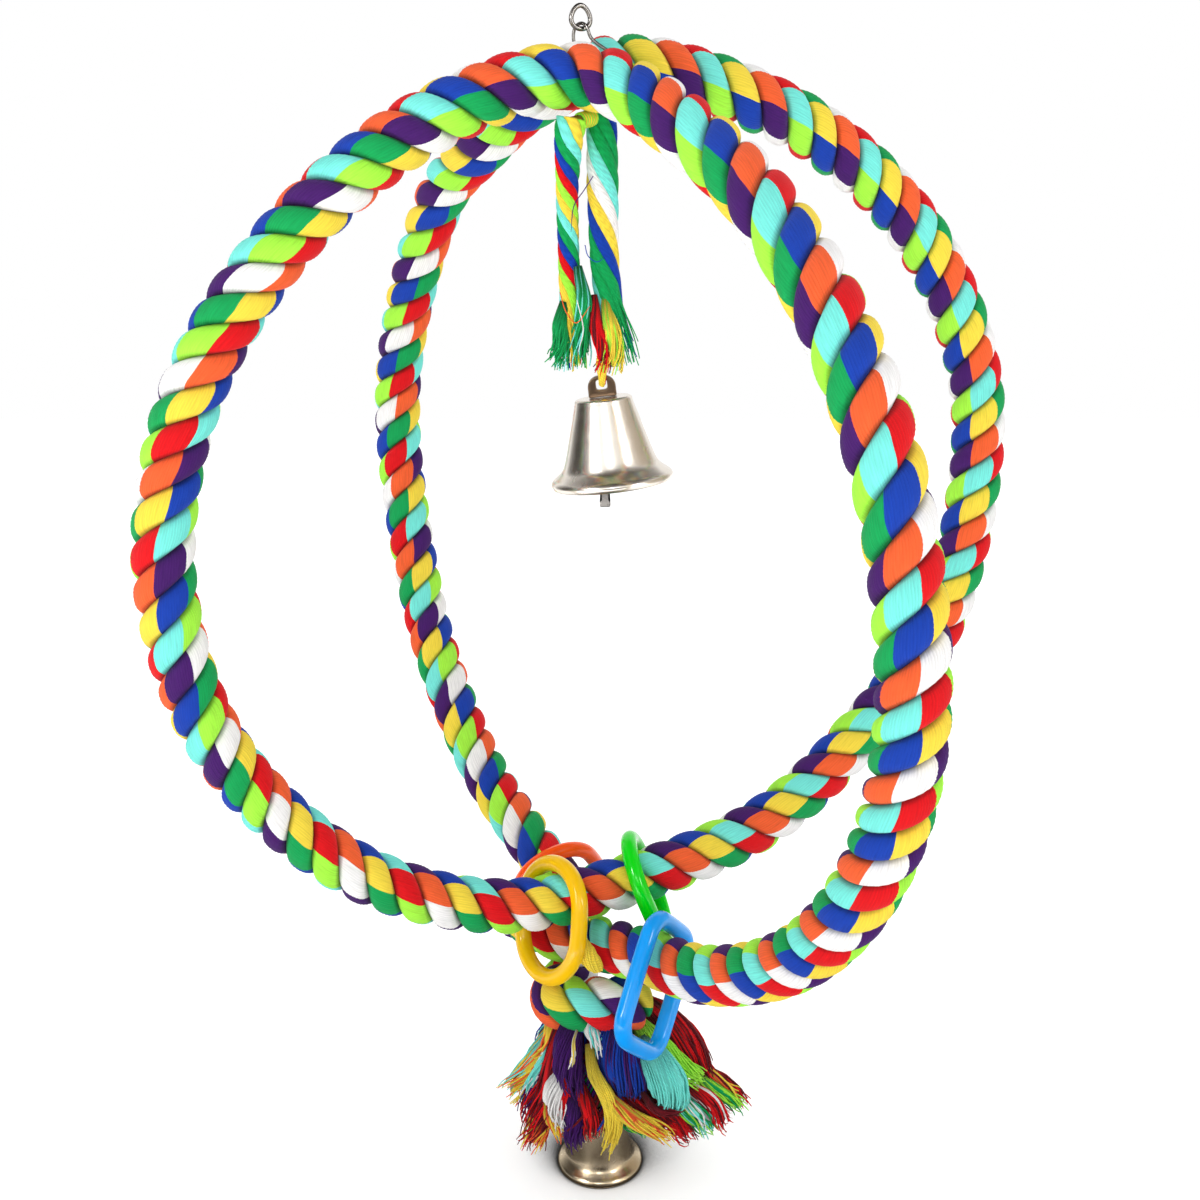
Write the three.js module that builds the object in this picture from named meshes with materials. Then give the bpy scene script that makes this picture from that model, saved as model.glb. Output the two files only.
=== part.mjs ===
// Rope bird swing: an open ball of thick cotton rope with two bells, plastic links and yarn tassels.
// Millimetres, +Z up. The pieces are laid out about the ball's centre and hung from the hanger link's eye.
import * as THREE from "three";
import { mergeVertices } from "three/addons/utils/BufferGeometryUtils.js";

// Clearances
const SEAT_GAP = 0.3;
const LINK_CLEARANCE = 0.6;

// Rope
const ROPE_DIAMETER = 25.4;
const ROPE_SIDES = 12;
const ROPE_STEPS = 78;
const KNOT_STEPS = 28;
const KNOT_STRAND_DIAMETER = 8;

// Hanger hardware
const WIRE_DIAMETER = 2;
const LOOP_WIRE = 1.4;
const HANGER_LINK_WIDTH = 10.4;
const HANGER_LINK_HEIGHT = 11;
const HANGER_LINK_TURN = 24;
const HANGER_SEAT = 0.42;
const TOGGLE_DIAMETER = 5;
const TOGGLE_OVERHANG = 7;
const TOGGLE_SEAT = 2.2;

// Plastic links
const LINK_ROD = 8;
const LINK_INNER_WIDTH = 34;
const OVAL_LINK_LENGTH = 62;
const SQUARE_LINK_LENGTH = 64;
const SQUARE_LINK_CORNER = 10;

// Upper bell
const UPPER_BELL_MOUTH = 55.2;
const UPPER_BELL_HEIGHT = 38.8;
const UPPER_BELL_CROWN = 25.6;
const UPPER_BELL_TILT = 6.5;
const UPPER_CLAPPER_DROP = 9;
const UPPER_TIE_OFFSET = 0.3;
const UPPER_TIE_LENGTH = 12;

// Lower bell
const LOWER_BELL_MOUTH = 43.4;
const LOWER_BELL_HEIGHT = 33;
const LOWER_BELL_CROWN = 20;
const LOWER_CLAPPER_DROP = -1.5;
const LOWER_TIE_LENGTH = 27.45;

// Both bells
const BELL_WALL = 1.2;
const STRAP_WIDTH = 12.4;
const STRAP_HEIGHT = 9.2;
const STRAP_BAND = 5;
const STRAP_THICKNESS = 1.6;
const STRAP_CORNER = 5;
const STRAP_FOOT = 3;
const STRAP_HOLE = 5;
const STRAP_HOLE_CORNER = 1.6;
const TIE_DIAMETER = 2.8;
const TIE_SEAT = 0.15;
const HOOK_WIRE = 1.2;
const HOOK_RADIUS = 3.4;
const CLAPPER_EYE_RADIUS = 3.4;
const CLAPPER_HOLE_RADIUS = 2.2;
const CLAPPER_STEM = 2.4;
const CLAPPER_FOOT = 5;
const CLAPPER_FOOT_HEIGHT = 1.8;
const CLAPPER_THICKNESS = 1.5;
const CLAPPER_SEAT = 0.45;

// Yarn tassels
const UPPER_TASSEL_TOP = 10;
const UPPER_TASSEL_TIP = 15;
const TASSEL_CORE_DIAMETER = 25;
const TASSEL_CORE_HEIGHT = 20;
const LOCK_TOP_DIAMETER = 7;
const LOCK_TIP_DIAMETER = 12;

const COLOURS = {
  nickel: 0xb9b6b0,
  rope: 0xd8a23a,
  red: 0xc8000f,
  yellow: 0xf7cb1e,
  white: 0xf5f3f2,
  teal: 0x5fe3d0,
  blue: 0x0a3aae,
  lime: 0x8fef1f,
  green: 0x009a4e,
  purple: 0x3a1263,
  orange: 0xff5a1f,
  yellowPlastic: 0xf5c21a,
  orangePlastic: 0xff5b2e,
  greenPlastic: 0x12d21f,
  bluePlastic: 0x2f9bff,
};

const swing = new THREE.Group();

function vector(x, y, z) {
  return new THREE.Vector3(x, y, z);
}

function addPiece(parent, name, geometry, colour, roughness, metalness) {
  const material = new THREE.MeshStandardMaterial({ color: colour, roughness, metalness });
  const mesh = new THREE.Mesh(geometry, material);
  mesh.name = name;
  parent.add(mesh);
}

function addYarn(parent, name, geometry, colour) {
  addPiece(parent, name, geometry, colour, 0.9, 0);
}

function addMetal(parent, name, geometry) {
  addPiece(parent, name, geometry, COLOURS.nickel, 0.3, 1);
}

function smoothCurve(points, closed = false) {
  return new THREE.CatmullRomCurve3(points, closed, "centripetal");
}

// The stretch of a longer curve between two shares of its length.
class Stretch extends THREE.Curve {
  constructor(whole, from, to) {
    super();
    this.whole = whole;
    this.from = from;
    this.to = to;
  }

  getPoint(share, target = new THREE.Vector3()) {
    return this.whole.getPointAt(THREE.MathUtils.lerp(this.from, this.to, share), target);
  }
}

// A round tube of even diameter along an open curve.
function openTube(extrudePath, diameter, steps, sides) {
  const section = new THREE.Shape();
  for (let side = 0; side < sides; side += 1) {
    const angle = (side / sides) * Math.PI * 2;
    const x = (Math.cos(angle) * diameter) / 2;
    const y = (Math.sin(angle) * diameter) / 2;
    if (side === 0) {
      section.moveTo(x, y);
    } else {
      section.lineTo(x, y);
    }
  }
  section.closePath();
  return new THREE.ExtrudeGeometry(section, { steps, extrudePath, bevelEnabled: false });
}

// A closed ring of round rod through the points of a closed curve.
function closedRing(points, rodDiameter, steps, sides) {
  const ring = new THREE.TubeGeometry(smoothCurve(points, true), steps, rodDiameter / 2, sides, true);
  ring.deleteAttribute("normal");
  ring.deleteAttribute("uv");
  return mergeVertices(ring, 1e-4);
}

// Points of a rounded rectangle in the plane of two directions; a corner of half the width gives an oval.
function roundedOutline(centre, across, along, halfWidth, halfLength, corner, pointsPerCorner) {
  const corners = [
    [1, 1],
    [-1, 1],
    [-1, -1],
    [1, -1],
  ];
  const points = [];
  corners.forEach(([signAcross, signAlong], quarter) => {
    for (let step = 0; step < pointsPerCorner; step += 1) {
      const angle = ((quarter + (step + 0.5) / pointsPerCorner) * Math.PI) / 2;
      const u = signAcross * (halfWidth - corner) + Math.cos(angle) * corner;
      const v = signAlong * (halfLength - corner) + Math.sin(angle) * corner;
      points.push(centre.clone().addScaledVector(across, u).addScaledVector(along, v));
    }
  });
  return points;
}

// A tapering bundle of yarn: round sections down a route, closed at both ends.
function taperedBundle(points, topDiameter, tipDiameter, steps, sides) {
  const curve = smoothCurve(points);
  const frames = curve.computeFrenetFrames(steps, false);
  const positions = [];
  const indices = [];
  for (let step = 0; step <= steps; step += 1) {
    const share = step / steps;
    const centre = curve.getPointAt(share);
    const radius = THREE.MathUtils.lerp(topDiameter, tipDiameter, share) / 2;
    for (let side = 0; side < sides; side += 1) {
      const angle = (side / sides) * Math.PI * 2;
      const point = centre.clone();
      point.addScaledVector(frames.normals[step], Math.cos(angle) * radius);
      point.addScaledVector(frames.binormals[step], Math.sin(angle) * radius);
      positions.push(point.x, point.y, point.z);
    }
  }
  for (const end of [curve.getPointAt(0), curve.getPointAt(1)]) {
    positions.push(end.x, end.y, end.z);
  }
  const topCentre = (steps + 1) * sides;
  const tipCentre = topCentre + 1;
  for (let side = 0; side < sides; side += 1) {
    const next = (side + 1) % sides;
    for (let step = 0; step < steps; step += 1) {
      const a = step * sides + side;
      const b = step * sides + next;
      indices.push(a, b, a + sides);
      indices.push(b, b + sides, a + sides);
    }
    indices.push(topCentre, next, side);
    indices.push(tipCentre, steps * sides + side, steps * sides + next);
  }
  const geometry = new THREE.BufferGeometry();
  geometry.setAttribute("position", new THREE.Float32BufferAttribute(positions, 3));
  geometry.setIndex(indices);
  return geometry;
}

// A body turned about Z from its profile of radius and height pairs, listed from the bottom up.
function turned(profile, segments) {
  const outline = profile.map(([radius, height]) => new THREE.Vector2(radius, height));
  return new THREE.LatheGeometry(outline, segments).rotateX(Math.PI / 2);
}

// A flat outline in X and Z given a thickness along Y, centred on Y = 0.
function plate(shape, thickness) {
  const geometry = new THREE.ExtrudeGeometry(shape, { depth: thickness, bevelEnabled: false, curveSegments: 10 });
  return geometry.rotateX(Math.PI / 2).translate(0, thickness / 2, 0);
}

// Rope route: back-left leg, rear arch, back-right leg, lower sweep, left leg, front arch, front-right leg.
const REAR_ELBOW = vector(9, 11.5, 200);
const FRONT_ELBOW = vector(-8.1, -12.1, 193.8);
const KNOT_JOIN = vector(-14, 40, -210);
const ROPE_ROUTE = [
  KNOT_JOIN,
  vector(-32, 60, -190),
  vector(-64, 106, -163),
  vector(-88, 140, -123),
  vector(-104, 163, -79),
  vector(-118, 182, 17),
  vector(-113, 175, 72),
  vector(-84, 133, 150),
  vector(-58.7, 92.2, 172.7),
  vector(-29.2, 48.5, 191.9),
  REAR_ELBOW,
  vector(50, 16, 193),
  vector(98.9, 34, 173.8),
  vector(144.6, 51.9, 137.7),
  vector(176, 63.9, 88.7),
  vector(189, 69, 36),
  vector(174.7, 62.9, -59.3),
  vector(133.2, 46.7, -115),
  vector(82.6, 27.7, -155.9),
  vector(0, -1, -178),
  vector(-48, -17, -179),
  vector(-101.8, -32.4, -158.4),
  vector(-141.6, -42.8, -123.1),
  vector(-170.5, -50.3, -75),
  vector(-181.8, -55, -15),
  vector(-177.1, -53.5, 32.7),
  vector(-158.9, -49.1, 82.6),
  vector(-118.3, -37.2, 137.3),
  vector(-64.3, -23.4, 177.6),
  FRONT_ELBOW,
  vector(40.4, -57.2, 163.3),
  vector(71.5, -113.1, 119.7),
  vector(90.7, -148.1, 71.7),
  vector(101.7, -163.5, 21.4),
  vector(105, -171, -34),
  vector(98.2, -160.9, -87.6),
  vector(79.7, -124.9, -142.6),
  vector(48, -69, -185),
  vector(19, -25, -200),
  vector(-2, -3, -206.5),
  vector(-24, 11, -208.5),
  vector(-46, 27, -204),
];
// The back-left leg comes from a turn that starts at the knot's front right and goes round its left.
const KNOT_ROUTE = [
  vector(22, -15, -231.5),
  vector(8, -22, -228.5),
  vector(-6, -22, -229),
  vector(-19, -16, -231.5),
  vector(-22, -2, -234.5),
  vector(-15, 14, -235),
  vector(-11, 29, -225),
];
const ROPE_LINE = smoothCurve([...KNOT_ROUTE, ...ROPE_ROUTE]);
ROPE_LINE.arcLengthDivisions = 3000;

// Share of the rope's length at which it passes closest to a point.
function shareNearest(point) {
  const samples = ROPE_LINE.arcLengthDivisions;
  let best = 0;
  let least = Infinity;
  for (let sample = 0; sample <= samples; sample += 1) {
    const distance = ROPE_LINE.getPointAt(sample / samples).distanceToSquared(point);
    if (distance < least) {
      least = distance;
      best = sample / samples;
    }
  }
  return best;
}

function buildRope() {
  const join = shareNearest(KNOT_JOIN);
  const gapShare = (2 * SEAT_GAP) / ROPE_LINE.getLength();
  const body = new Stretch(ROPE_LINE, join, 1);
  const end = new Stretch(ROPE_LINE, 0, join - gapShare);
  addYarn(swing, "main_rope", openTube(body, ROPE_DIAMETER, ROPE_STEPS, ROPE_SIDES), COLOURS.rope);
  addYarn(swing, "knot_turn", openTube(end, ROPE_DIAMETER, KNOT_STEPS, ROPE_SIDES), COLOURS.rope);
  const strand = [vector(-5, -21, -195), vector(-2.5, -28, -203.5), vector(2, -33, -210)];
  addYarn(swing, "knot_strand", openTube(smoothCurve(strand), KNOT_STRAND_DIAMETER, 6, 10), COLOURS.yellow);
}

// Hanger: a pear link, a wire loop hung on it between the arches, and the bar that the arches rest on.
const LOOP_APEX = vector(-8, 0, 215.6);
const LINK_SEAT = LOOP_APEX.z - (WIRE_DIAMETER + LOOP_WIRE) / 2 - HANGER_SEAT;
const HANGER_EYE = vector(LOOP_APEX.x, LOOP_APEX.y, LINK_SEAT + HANGER_LINK_HEIGHT - 1.5 * WIRE_DIAMETER);

function toggleEnd(elbow) {
  const drop = ROPE_DIAMETER / 2 + TOGGLE_SEAT + TOGGLE_DIAMETER / 2;
  return elbow.clone().add(vector(0, 0, -drop));
}

function toggleMiddle() {
  return toggleEnd(FRONT_ELBOW).lerp(toggleEnd(REAR_ELBOW), 0.5);
}

function loopBottomHeight() {
  return toggleMiddle().z - (TOGGLE_DIAMETER + LOOP_WIRE) / 2 - 1.3 * SEAT_GAP;
}

function buildHanger() {
  const turn = THREE.MathUtils.degToRad(HANGER_LINK_TURN);
  const sideways = vector(Math.cos(turn), Math.sin(turn), 0);
  const halfWidth = (HANGER_LINK_WIDTH - WIRE_DIAMETER) / 2;
  const halfHeight = (HANGER_LINK_HEIGHT - WIRE_DIAMETER) / 2;
  const pearTaper = 0.2;
  const linkPoints = [];
  const linkSteps = 24;
  for (let step = 0; step < linkSteps; step += 1) {
    const angle = (step / linkSteps) * Math.PI * 2;
    const across = Math.cos(angle) * (1 - pearTaper * Math.sin(angle)) * halfWidth;
    const height = LINK_SEAT + halfHeight * (1 + Math.sin(angle));
    linkPoints.push(vector(LOOP_APEX.x, LOOP_APEX.y, height).addScaledVector(sideways, across));
  }
  addMetal(swing, "hanger_link", closedRing(linkPoints, WIRE_DIAMETER, linkSteps, 10));

  const front = toggleEnd(FRONT_ELBOW);
  const rear = toggleEnd(REAR_ELBOW);
  const direction = rear.clone().sub(front).normalize();
  const middle = toggleMiddle();
  const barLength = front.distanceTo(rear) + 2 * TOGGLE_OVERHANG;
  const bar = new THREE.CylinderGeometry(TOGGLE_DIAMETER / 2, TOGGLE_DIAMETER / 2, barLength, 16);
  bar.applyQuaternion(new THREE.Quaternion().setFromUnitVectors(vector(0, 1, 0), direction));
  addMetal(swing, "toggle_bar", bar.translate(middle.x, middle.y, middle.z));

  const loopBottom = loopBottomHeight();
  const loopPoints = [
    LOOP_APEX,
    vector(-5.6, -2.2, 214.2),
    vector(-3.6, -2.6, 209.5),
    vector(9.5, -4.2, 199),
    vector(9.5, -4.2, 188),
    vector(6.5, -2.2, loopBottom + 1.6),
    vector(middle.x, middle.y, loopBottom),
    vector(-5, 2.4, loopBottom + 1.6),
    vector(-6.6, 3.2, 188),
    vector(-6.6, 3.2, 199),
    vector(-11, 2.4, 209.5),
    vector(-10.4, 2.2, 214.2),
  ];
  addMetal(swing, "hanger_loop", closedRing(loopPoints, LOOP_WIRE, 44, 8));
}

// Plastic links: closed rings round the rope, each hung on it at one place.
function buildLink(name, ropePoint, upward, sideways, shift, length, corner, colour) {
  const along = upward.clone().normalize();
  const across = sideways.clone().addScaledVector(along, -sideways.dot(along)).normalize();
  const rest = ROPE_DIAMETER / 2 + LINK_CLEARANCE + LINK_ROD - length / 2;
  const centre = ropePoint.clone().addScaledVector(along, rest).addScaledVector(across, shift);
  const halfWidth = (LINK_INNER_WIDTH + LINK_ROD) / 2;
  const halfLength = (length - LINK_ROD) / 2;
  const points = roundedOutline(centre, across, along, halfWidth, halfLength, corner, 6);
  addPiece(swing, name, closedRing(points, LINK_ROD, 40, 10), colour, 0.25, 0);
}

function buildLinks() {
  const oval = (LINK_INNER_WIDTH + LINK_ROD) / 2;
  buildLink("yellow_link", vector(-24, -9, -179.6), vector(0.05, 0.38, 0.92), vector(0.62, -0.78, 0), 1,
    OVAL_LINK_LENGTH, oval, COLOURS.yellowPlastic);
  buildLink("orange_link", vector(-25, 52.2, -196.7), vector(-0.31, -0.6, 0.74), vector(0.85, 0.18, 0.5), 0.4,
    OVAL_LINK_LENGTH, oval, COLOURS.orangePlastic);
  buildLink("green_link", vector(20.4, 6.2, -173.7), vector(-0.36, -0.11, 0.93), vector(0.03, -0.99, -0.13), -0.5,
    OVAL_LINK_LENGTH, oval, COLOURS.greenPlastic);
  buildLink("blue_link", vector(28.5, -41, -195.2), vector(0.31, 0.58, 0.76), vector(0.42, 0.62, -0.65), 1,
    SQUARE_LINK_LENGTH, SQUARE_LINK_CORNER, COLOURS.bluePlastic);
}

// Outer and inner profile of a bell whose crown top is at height 0, listed round the closed wall.
function bellProfile(mouth, height, crown) {
  const rim = mouth / 2;
  const waist = rim * 0.79;
  const top = crown / 2;
  const outer = [
    [top - 1, 0],
    [top, -0.8],
    [THREE.MathUtils.lerp(top, waist, 0.45), -height * 0.36],
    [waist, -height * 0.73],
    [rim * 0.86, -height * 0.81],
    [rim * 0.95, -height * 0.87],
    [rim, -height * 0.91],
    [rim, -height * 0.97],
    [rim - 0.6, -height],
  ];
  const inner = [
    [rim - 0.6 - BELL_WALL, -height],
    [rim - BELL_WALL - 0.4, -height * 0.93],
    [rim * 0.86 - BELL_WALL, -height * 0.83],
    [waist - BELL_WALL, -height * 0.74],
    [THREE.MathUtils.lerp(top, waist, 0.45) - BELL_WALL, -height * 0.36],
    [top - BELL_WALL, -BELL_WALL - 0.8],
  ];
  return [[0, 0], ...outer, ...inner, [0, -BELL_WALL]].reverse();
}

// The strap's flat outline: a lug with round shoulders and a hole for the tie.
function strapShape() {
  const half = STRAP_WIDTH / 2;
  const shoulder = STRAP_HEIGHT - STRAP_CORNER;
  const holeHalf = STRAP_HOLE / 2 - STRAP_HOLE_CORNER;
  const holeTop = STRAP_HEIGHT - STRAP_THICKNESS - STRAP_HOLE_CORNER;
  const holeBottom = STRAP_FOOT + STRAP_HOLE_CORNER;
  const shape = new THREE.Shape();
  shape.moveTo(half, 0);
  shape.lineTo(half, shoulder);
  shape.absarc(half - STRAP_CORNER, shoulder, STRAP_CORNER, 0, Math.PI / 2, false);
  shape.absarc(STRAP_CORNER - half, shoulder, STRAP_CORNER, Math.PI / 2, Math.PI, false);
  shape.lineTo(-half, 0);
  shape.closePath();
  const hole = new THREE.Path();
  hole.absarc(holeHalf, holeTop, STRAP_HOLE_CORNER, 0, Math.PI / 2, false);
  hole.absarc(-holeHalf, holeTop, STRAP_HOLE_CORNER, Math.PI / 2, Math.PI, false);
  hole.absarc(-holeHalf, holeBottom, STRAP_HOLE_CORNER, Math.PI, 1.5 * Math.PI, false);
  hole.absarc(holeHalf, holeBottom, STRAP_HOLE_CORNER, 1.5 * Math.PI, 2 * Math.PI, false);
  hole.closePath();
  shape.holes.push(hole);
  return shape;
}

function clapperShape(length) {
  const stem = CLAPPER_STEM / 2;
  const foot = CLAPPER_FOOT / 2;
  const shoulder = Math.asin(stem / CLAPPER_EYE_RADIUS);
  const shape = new THREE.Shape();
  shape.absarc(0, 0, CLAPPER_EYE_RADIUS, shoulder - Math.PI / 2, (3 * Math.PI) / 2 - shoulder, false);
  shape.lineTo(-stem, CLAPPER_FOOT_HEIGHT - length);
  shape.lineTo(-foot, CLAPPER_FOOT_HEIGHT - length);
  shape.lineTo(-foot, -length);
  shape.lineTo(foot, -length);
  shape.lineTo(foot, CLAPPER_FOOT_HEIGHT - length);
  shape.lineTo(stem, CLAPPER_FOOT_HEIGHT - length);
  shape.closePath();
  const hole = new THREE.Path();
  hole.absarc(0, 0, CLAPPER_HOLE_RADIUS, 0, Math.PI * 2, true);
  shape.holes.push(hole);
  return shape;
}

// A yarn tie in the Y and Z plane: down one side of the strap, under its top and up the other side.
function tieRoute(pivot, length) {
  const leg = STRAP_BAND / 2 + TIE_DIAMETER;
  const side = [
    [leg, length],
    [leg, length * 0.45],
    [leg - 0.3, TIE_DIAMETER * 0.75],
    [leg - 1.8, 0.2],
  ];
  const points = side.map(([y, z]) => vector(pivot.x, pivot.y - y, pivot.z + z));
  points.push(pivot.clone());
  for (const [y, z] of side.reverse()) {
    points.push(vector(pivot.x, pivot.y + y, pivot.z + z));
  }
  return smoothCurve(points);
}

// A bell with its crown top at a place, leaning by some degrees, with the tie that carries it.
function buildBell(prefix, crownPlace, lean, sizes, tieOffset, tieLength, tieColour) {
  const bell = new THREE.Group();
  bell.position.copy(crownPlace);
  bell.rotation.y = -THREE.MathUtils.degToRad(lean);
  bell.updateMatrix();
  swing.add(bell);
  addMetal(bell, `${prefix}_bell_shell`, turned(bellProfile(sizes.mouth, sizes.height, sizes.crown), 36));
  addMetal(bell, `${prefix}_bell_strap`, plate(strapShape(), STRAP_BAND).translate(0, 0, SEAT_GAP));

  const hookHeight = -(BELL_WALL + SEAT_GAP + HOOK_WIRE / 2 + HOOK_RADIUS);
  const hook = new THREE.TorusGeometry(HOOK_RADIUS, HOOK_WIRE / 2, 8, 20);
  addMetal(bell, `${prefix}_bell_hook`, hook.rotateY(Math.PI / 2).translate(0, 0, hookHeight));

  const hang = vector(0, 0, hookHeight - HOOK_RADIUS).applyMatrix4(bell.matrix);
  const eyeDrop = CLAPPER_HOLE_RADIUS - HOOK_WIRE / 2 - CLAPPER_SEAT;
  const eye = vector(hang.x, hang.y, hang.z - eyeDrop);
  const length = sizes.height + sizes.drop + hookHeight - HOOK_RADIUS - eyeDrop;
  const clapper = plate(clapperShape(length), CLAPPER_THICKNESS);
  addMetal(swing, `${prefix}_bell_clapper`, clapper.translate(eye.x, eye.y, eye.z));

  const tieHeight = STRAP_HEIGHT - STRAP_THICKNESS - TIE_SEAT - TIE_DIAMETER / 2;
  const pivot = vector(tieOffset, 0, tieHeight).applyMatrix4(bell.matrix);
  const tie = openTube(tieRoute(pivot, tieLength), TIE_DIAMETER, 26, 8);
  addYarn(swing, `${prefix}_bell_tie`, tie, tieColour);
}

const UPPER_CROWN = vector(1.3, 0, 61.7);
const TASSEL_AXIS = vector(0, -8, 0);
const CORE_TOP = -241.6;
const LOCK_START = -249.5;
const LOWER_CROWN = vector(TASSEL_AXIS.x, TASSEL_AXIS.y, -295.5);

function buildBells() {
  const upper = {
    mouth: UPPER_BELL_MOUTH,
    height: UPPER_BELL_HEIGHT,
    crown: UPPER_BELL_CROWN,
    drop: UPPER_CLAPPER_DROP,
  };
  buildBell("upper", UPPER_CROWN, UPPER_BELL_TILT, upper, UPPER_TIE_OFFSET, UPPER_TIE_LENGTH, COLOURS.yellow);
  const lower = {
    mouth: LOWER_BELL_MOUTH,
    height: LOWER_BELL_HEIGHT,
    crown: LOWER_BELL_CROWN,
    drop: LOWER_CLAPPER_DROP,
  };
  buildBell("lower", LOWER_CROWN, 0, lower, 0, LOWER_TIE_LENGTH, COLOURS.red);
}

function buildUpperTassels() {
  const left = [
    vector(-13, -4, FRONT_ELBOW.z - ROPE_DIAMETER / 2 - 2 * SEAT_GAP),
    vector(-14, -1, 150),
    vector(-12, 0, 120),
    vector(-12.5, 0, 100),
    vector(-14, 0, 80),
  ];
  const right = [
    vector(0.5, 0, loopBottomHeight() - LOOP_WIRE / 2 - 1.3 * SEAT_GAP),
    vector(3, 0, 145),
    vector(4.5, 0, 115),
    vector(6, 0, 95),
    vector(7.5, 0, 80.8),
  ];
  addYarn(swing, "upper_tassel_left", taperedBundle(left, UPPER_TASSEL_TOP, UPPER_TASSEL_TIP, 14, 12), COLOURS.green);
  addYarn(swing, "upper_tassel_right", taperedBundle(right, UPPER_TASSEL_TOP, UPPER_TASSEL_TIP, 14, 12), COLOURS.teal);
}

// Locks of the lower tassel: direction about the axis in degrees, reach of the tip, height of the tip, colour.
const LOCKS = [
  { name: "left_yellow", direction: 186, reach: 49, tip: -285.5, colour: COLOURS.yellow },
  { name: "left_red", direction: 213, reach: 36, tip: -301.5, colour: COLOURS.red },
  { name: "front_purple", direction: 240, reach: 27.5, tip: -308.5, colour: COLOURS.purple },
  { name: "front_yellow", direction: 267, reach: 27.5, tip: -305.5, colour: COLOURS.yellow },
  { name: "front_blue", direction: 294, reach: 40, tip: -283, colour: COLOURS.blue },
  { name: "right_teal", direction: 321, reach: 54.5, tip: -287, colour: COLOURS.teal },
  { name: "right_lime", direction: 348, reach: 65, tip: -284, colour: COLOURS.lime },
  { name: "right_red", direction: 15, reach: 72, tip: -296, colour: COLOURS.red },
  { name: "rear_green", direction: 45, reach: 52, tip: -300, colour: COLOURS.green },
  { name: "rear_orange", direction: 78, reach: 45, tip: -304, colour: COLOURS.orange },
  { name: "rear_white", direction: 112, reach: 43, tip: -305, colour: COLOURS.white },
  { name: "rear_purple", direction: 148, reach: 45, tip: -303, colour: COLOURS.purple },
];

function buildLowerTassel() {
  const coreRadius = TASSEL_CORE_DIAMETER / 2;
  const core = turned([
    [0, -TASSEL_CORE_HEIGHT],
    [coreRadius - 2, -TASSEL_CORE_HEIGHT],
    [coreRadius, 1 - TASSEL_CORE_HEIGHT],
    [coreRadius, -1],
    [coreRadius - 1, 0],
    [0, 0],
  ], 24);
  addYarn(swing, "tassel_core", core.translate(TASSEL_AXIS.x, TASSEL_AXIS.y, CORE_TOP), COLOURS.purple);
  const startReach = coreRadius + SEAT_GAP + LOCK_TOP_DIAMETER / 2;
  for (const lock of LOCKS) {
    const angle = THREE.MathUtils.degToRad(lock.direction);
    const place = (reach, height) =>
      vector(TASSEL_AXIS.x + Math.cos(angle) * reach, TASSEL_AXIS.y + Math.sin(angle) * reach, height);
    const points = [
      place(startReach, LOCK_START),
      place(startReach + 1, LOCK_START - 7),
      place(THREE.MathUtils.lerp(startReach, lock.reach, 0.5), THREE.MathUtils.lerp(LOCK_START, lock.tip, 0.5)),
      place(lock.reach, lock.tip),
    ];
    const bundle = taperedBundle(points, LOCK_TOP_DIAMETER, LOCK_TIP_DIAMETER, 10, 10);
    addYarn(swing, `lock_${lock.name}`, bundle, lock.colour);
  }
}

buildRope();
buildHanger();
buildLinks();
buildBells();
buildUpperTassels();
buildLowerTassel();
swing.position.copy(HANGER_EYE).negate();

export default swing;
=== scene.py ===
"""Rope bird swing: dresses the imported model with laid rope, yarn tassels, bells, plastic links and a stage."""
import math

import bpy
import numpy as np
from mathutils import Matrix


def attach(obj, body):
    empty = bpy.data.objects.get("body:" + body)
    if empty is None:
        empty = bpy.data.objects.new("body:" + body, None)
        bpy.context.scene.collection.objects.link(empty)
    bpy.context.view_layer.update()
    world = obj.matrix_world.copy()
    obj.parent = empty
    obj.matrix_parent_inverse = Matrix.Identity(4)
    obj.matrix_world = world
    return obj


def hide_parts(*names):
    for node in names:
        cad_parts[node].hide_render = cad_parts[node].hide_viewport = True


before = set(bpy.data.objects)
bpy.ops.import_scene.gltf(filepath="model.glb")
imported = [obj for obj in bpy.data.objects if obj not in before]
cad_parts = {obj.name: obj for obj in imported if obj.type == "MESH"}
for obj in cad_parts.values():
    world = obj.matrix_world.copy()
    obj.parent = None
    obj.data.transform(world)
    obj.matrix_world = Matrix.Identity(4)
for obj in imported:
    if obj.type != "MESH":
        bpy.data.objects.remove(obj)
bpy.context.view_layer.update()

bl_info = {
    "name": "Rope bird swing",
    "version": (1, 0, 0),
    "blender": (4, 5, 0),
    "location": "View3D > Sidebar > Swing",
    "description": "Builds the rope, tassels, bells and links of a rope bird swing on its packed model",
    "category": "Add Mesh",
}

MM = 0.001
TURN = 2 * math.pi
GOLDEN_ANGLE = math.pi * (3 - math.sqrt(5))
# The ball's centre in the model's millimetres; the model's origin is the hanger's eye.
BALL_CENTRE = np.array((8.0, 0.0, -221.48))
# The eye of the front view, in ball millimetres.
FRONT_POINT = np.array((0.0, -590.08, 126.34))

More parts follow.
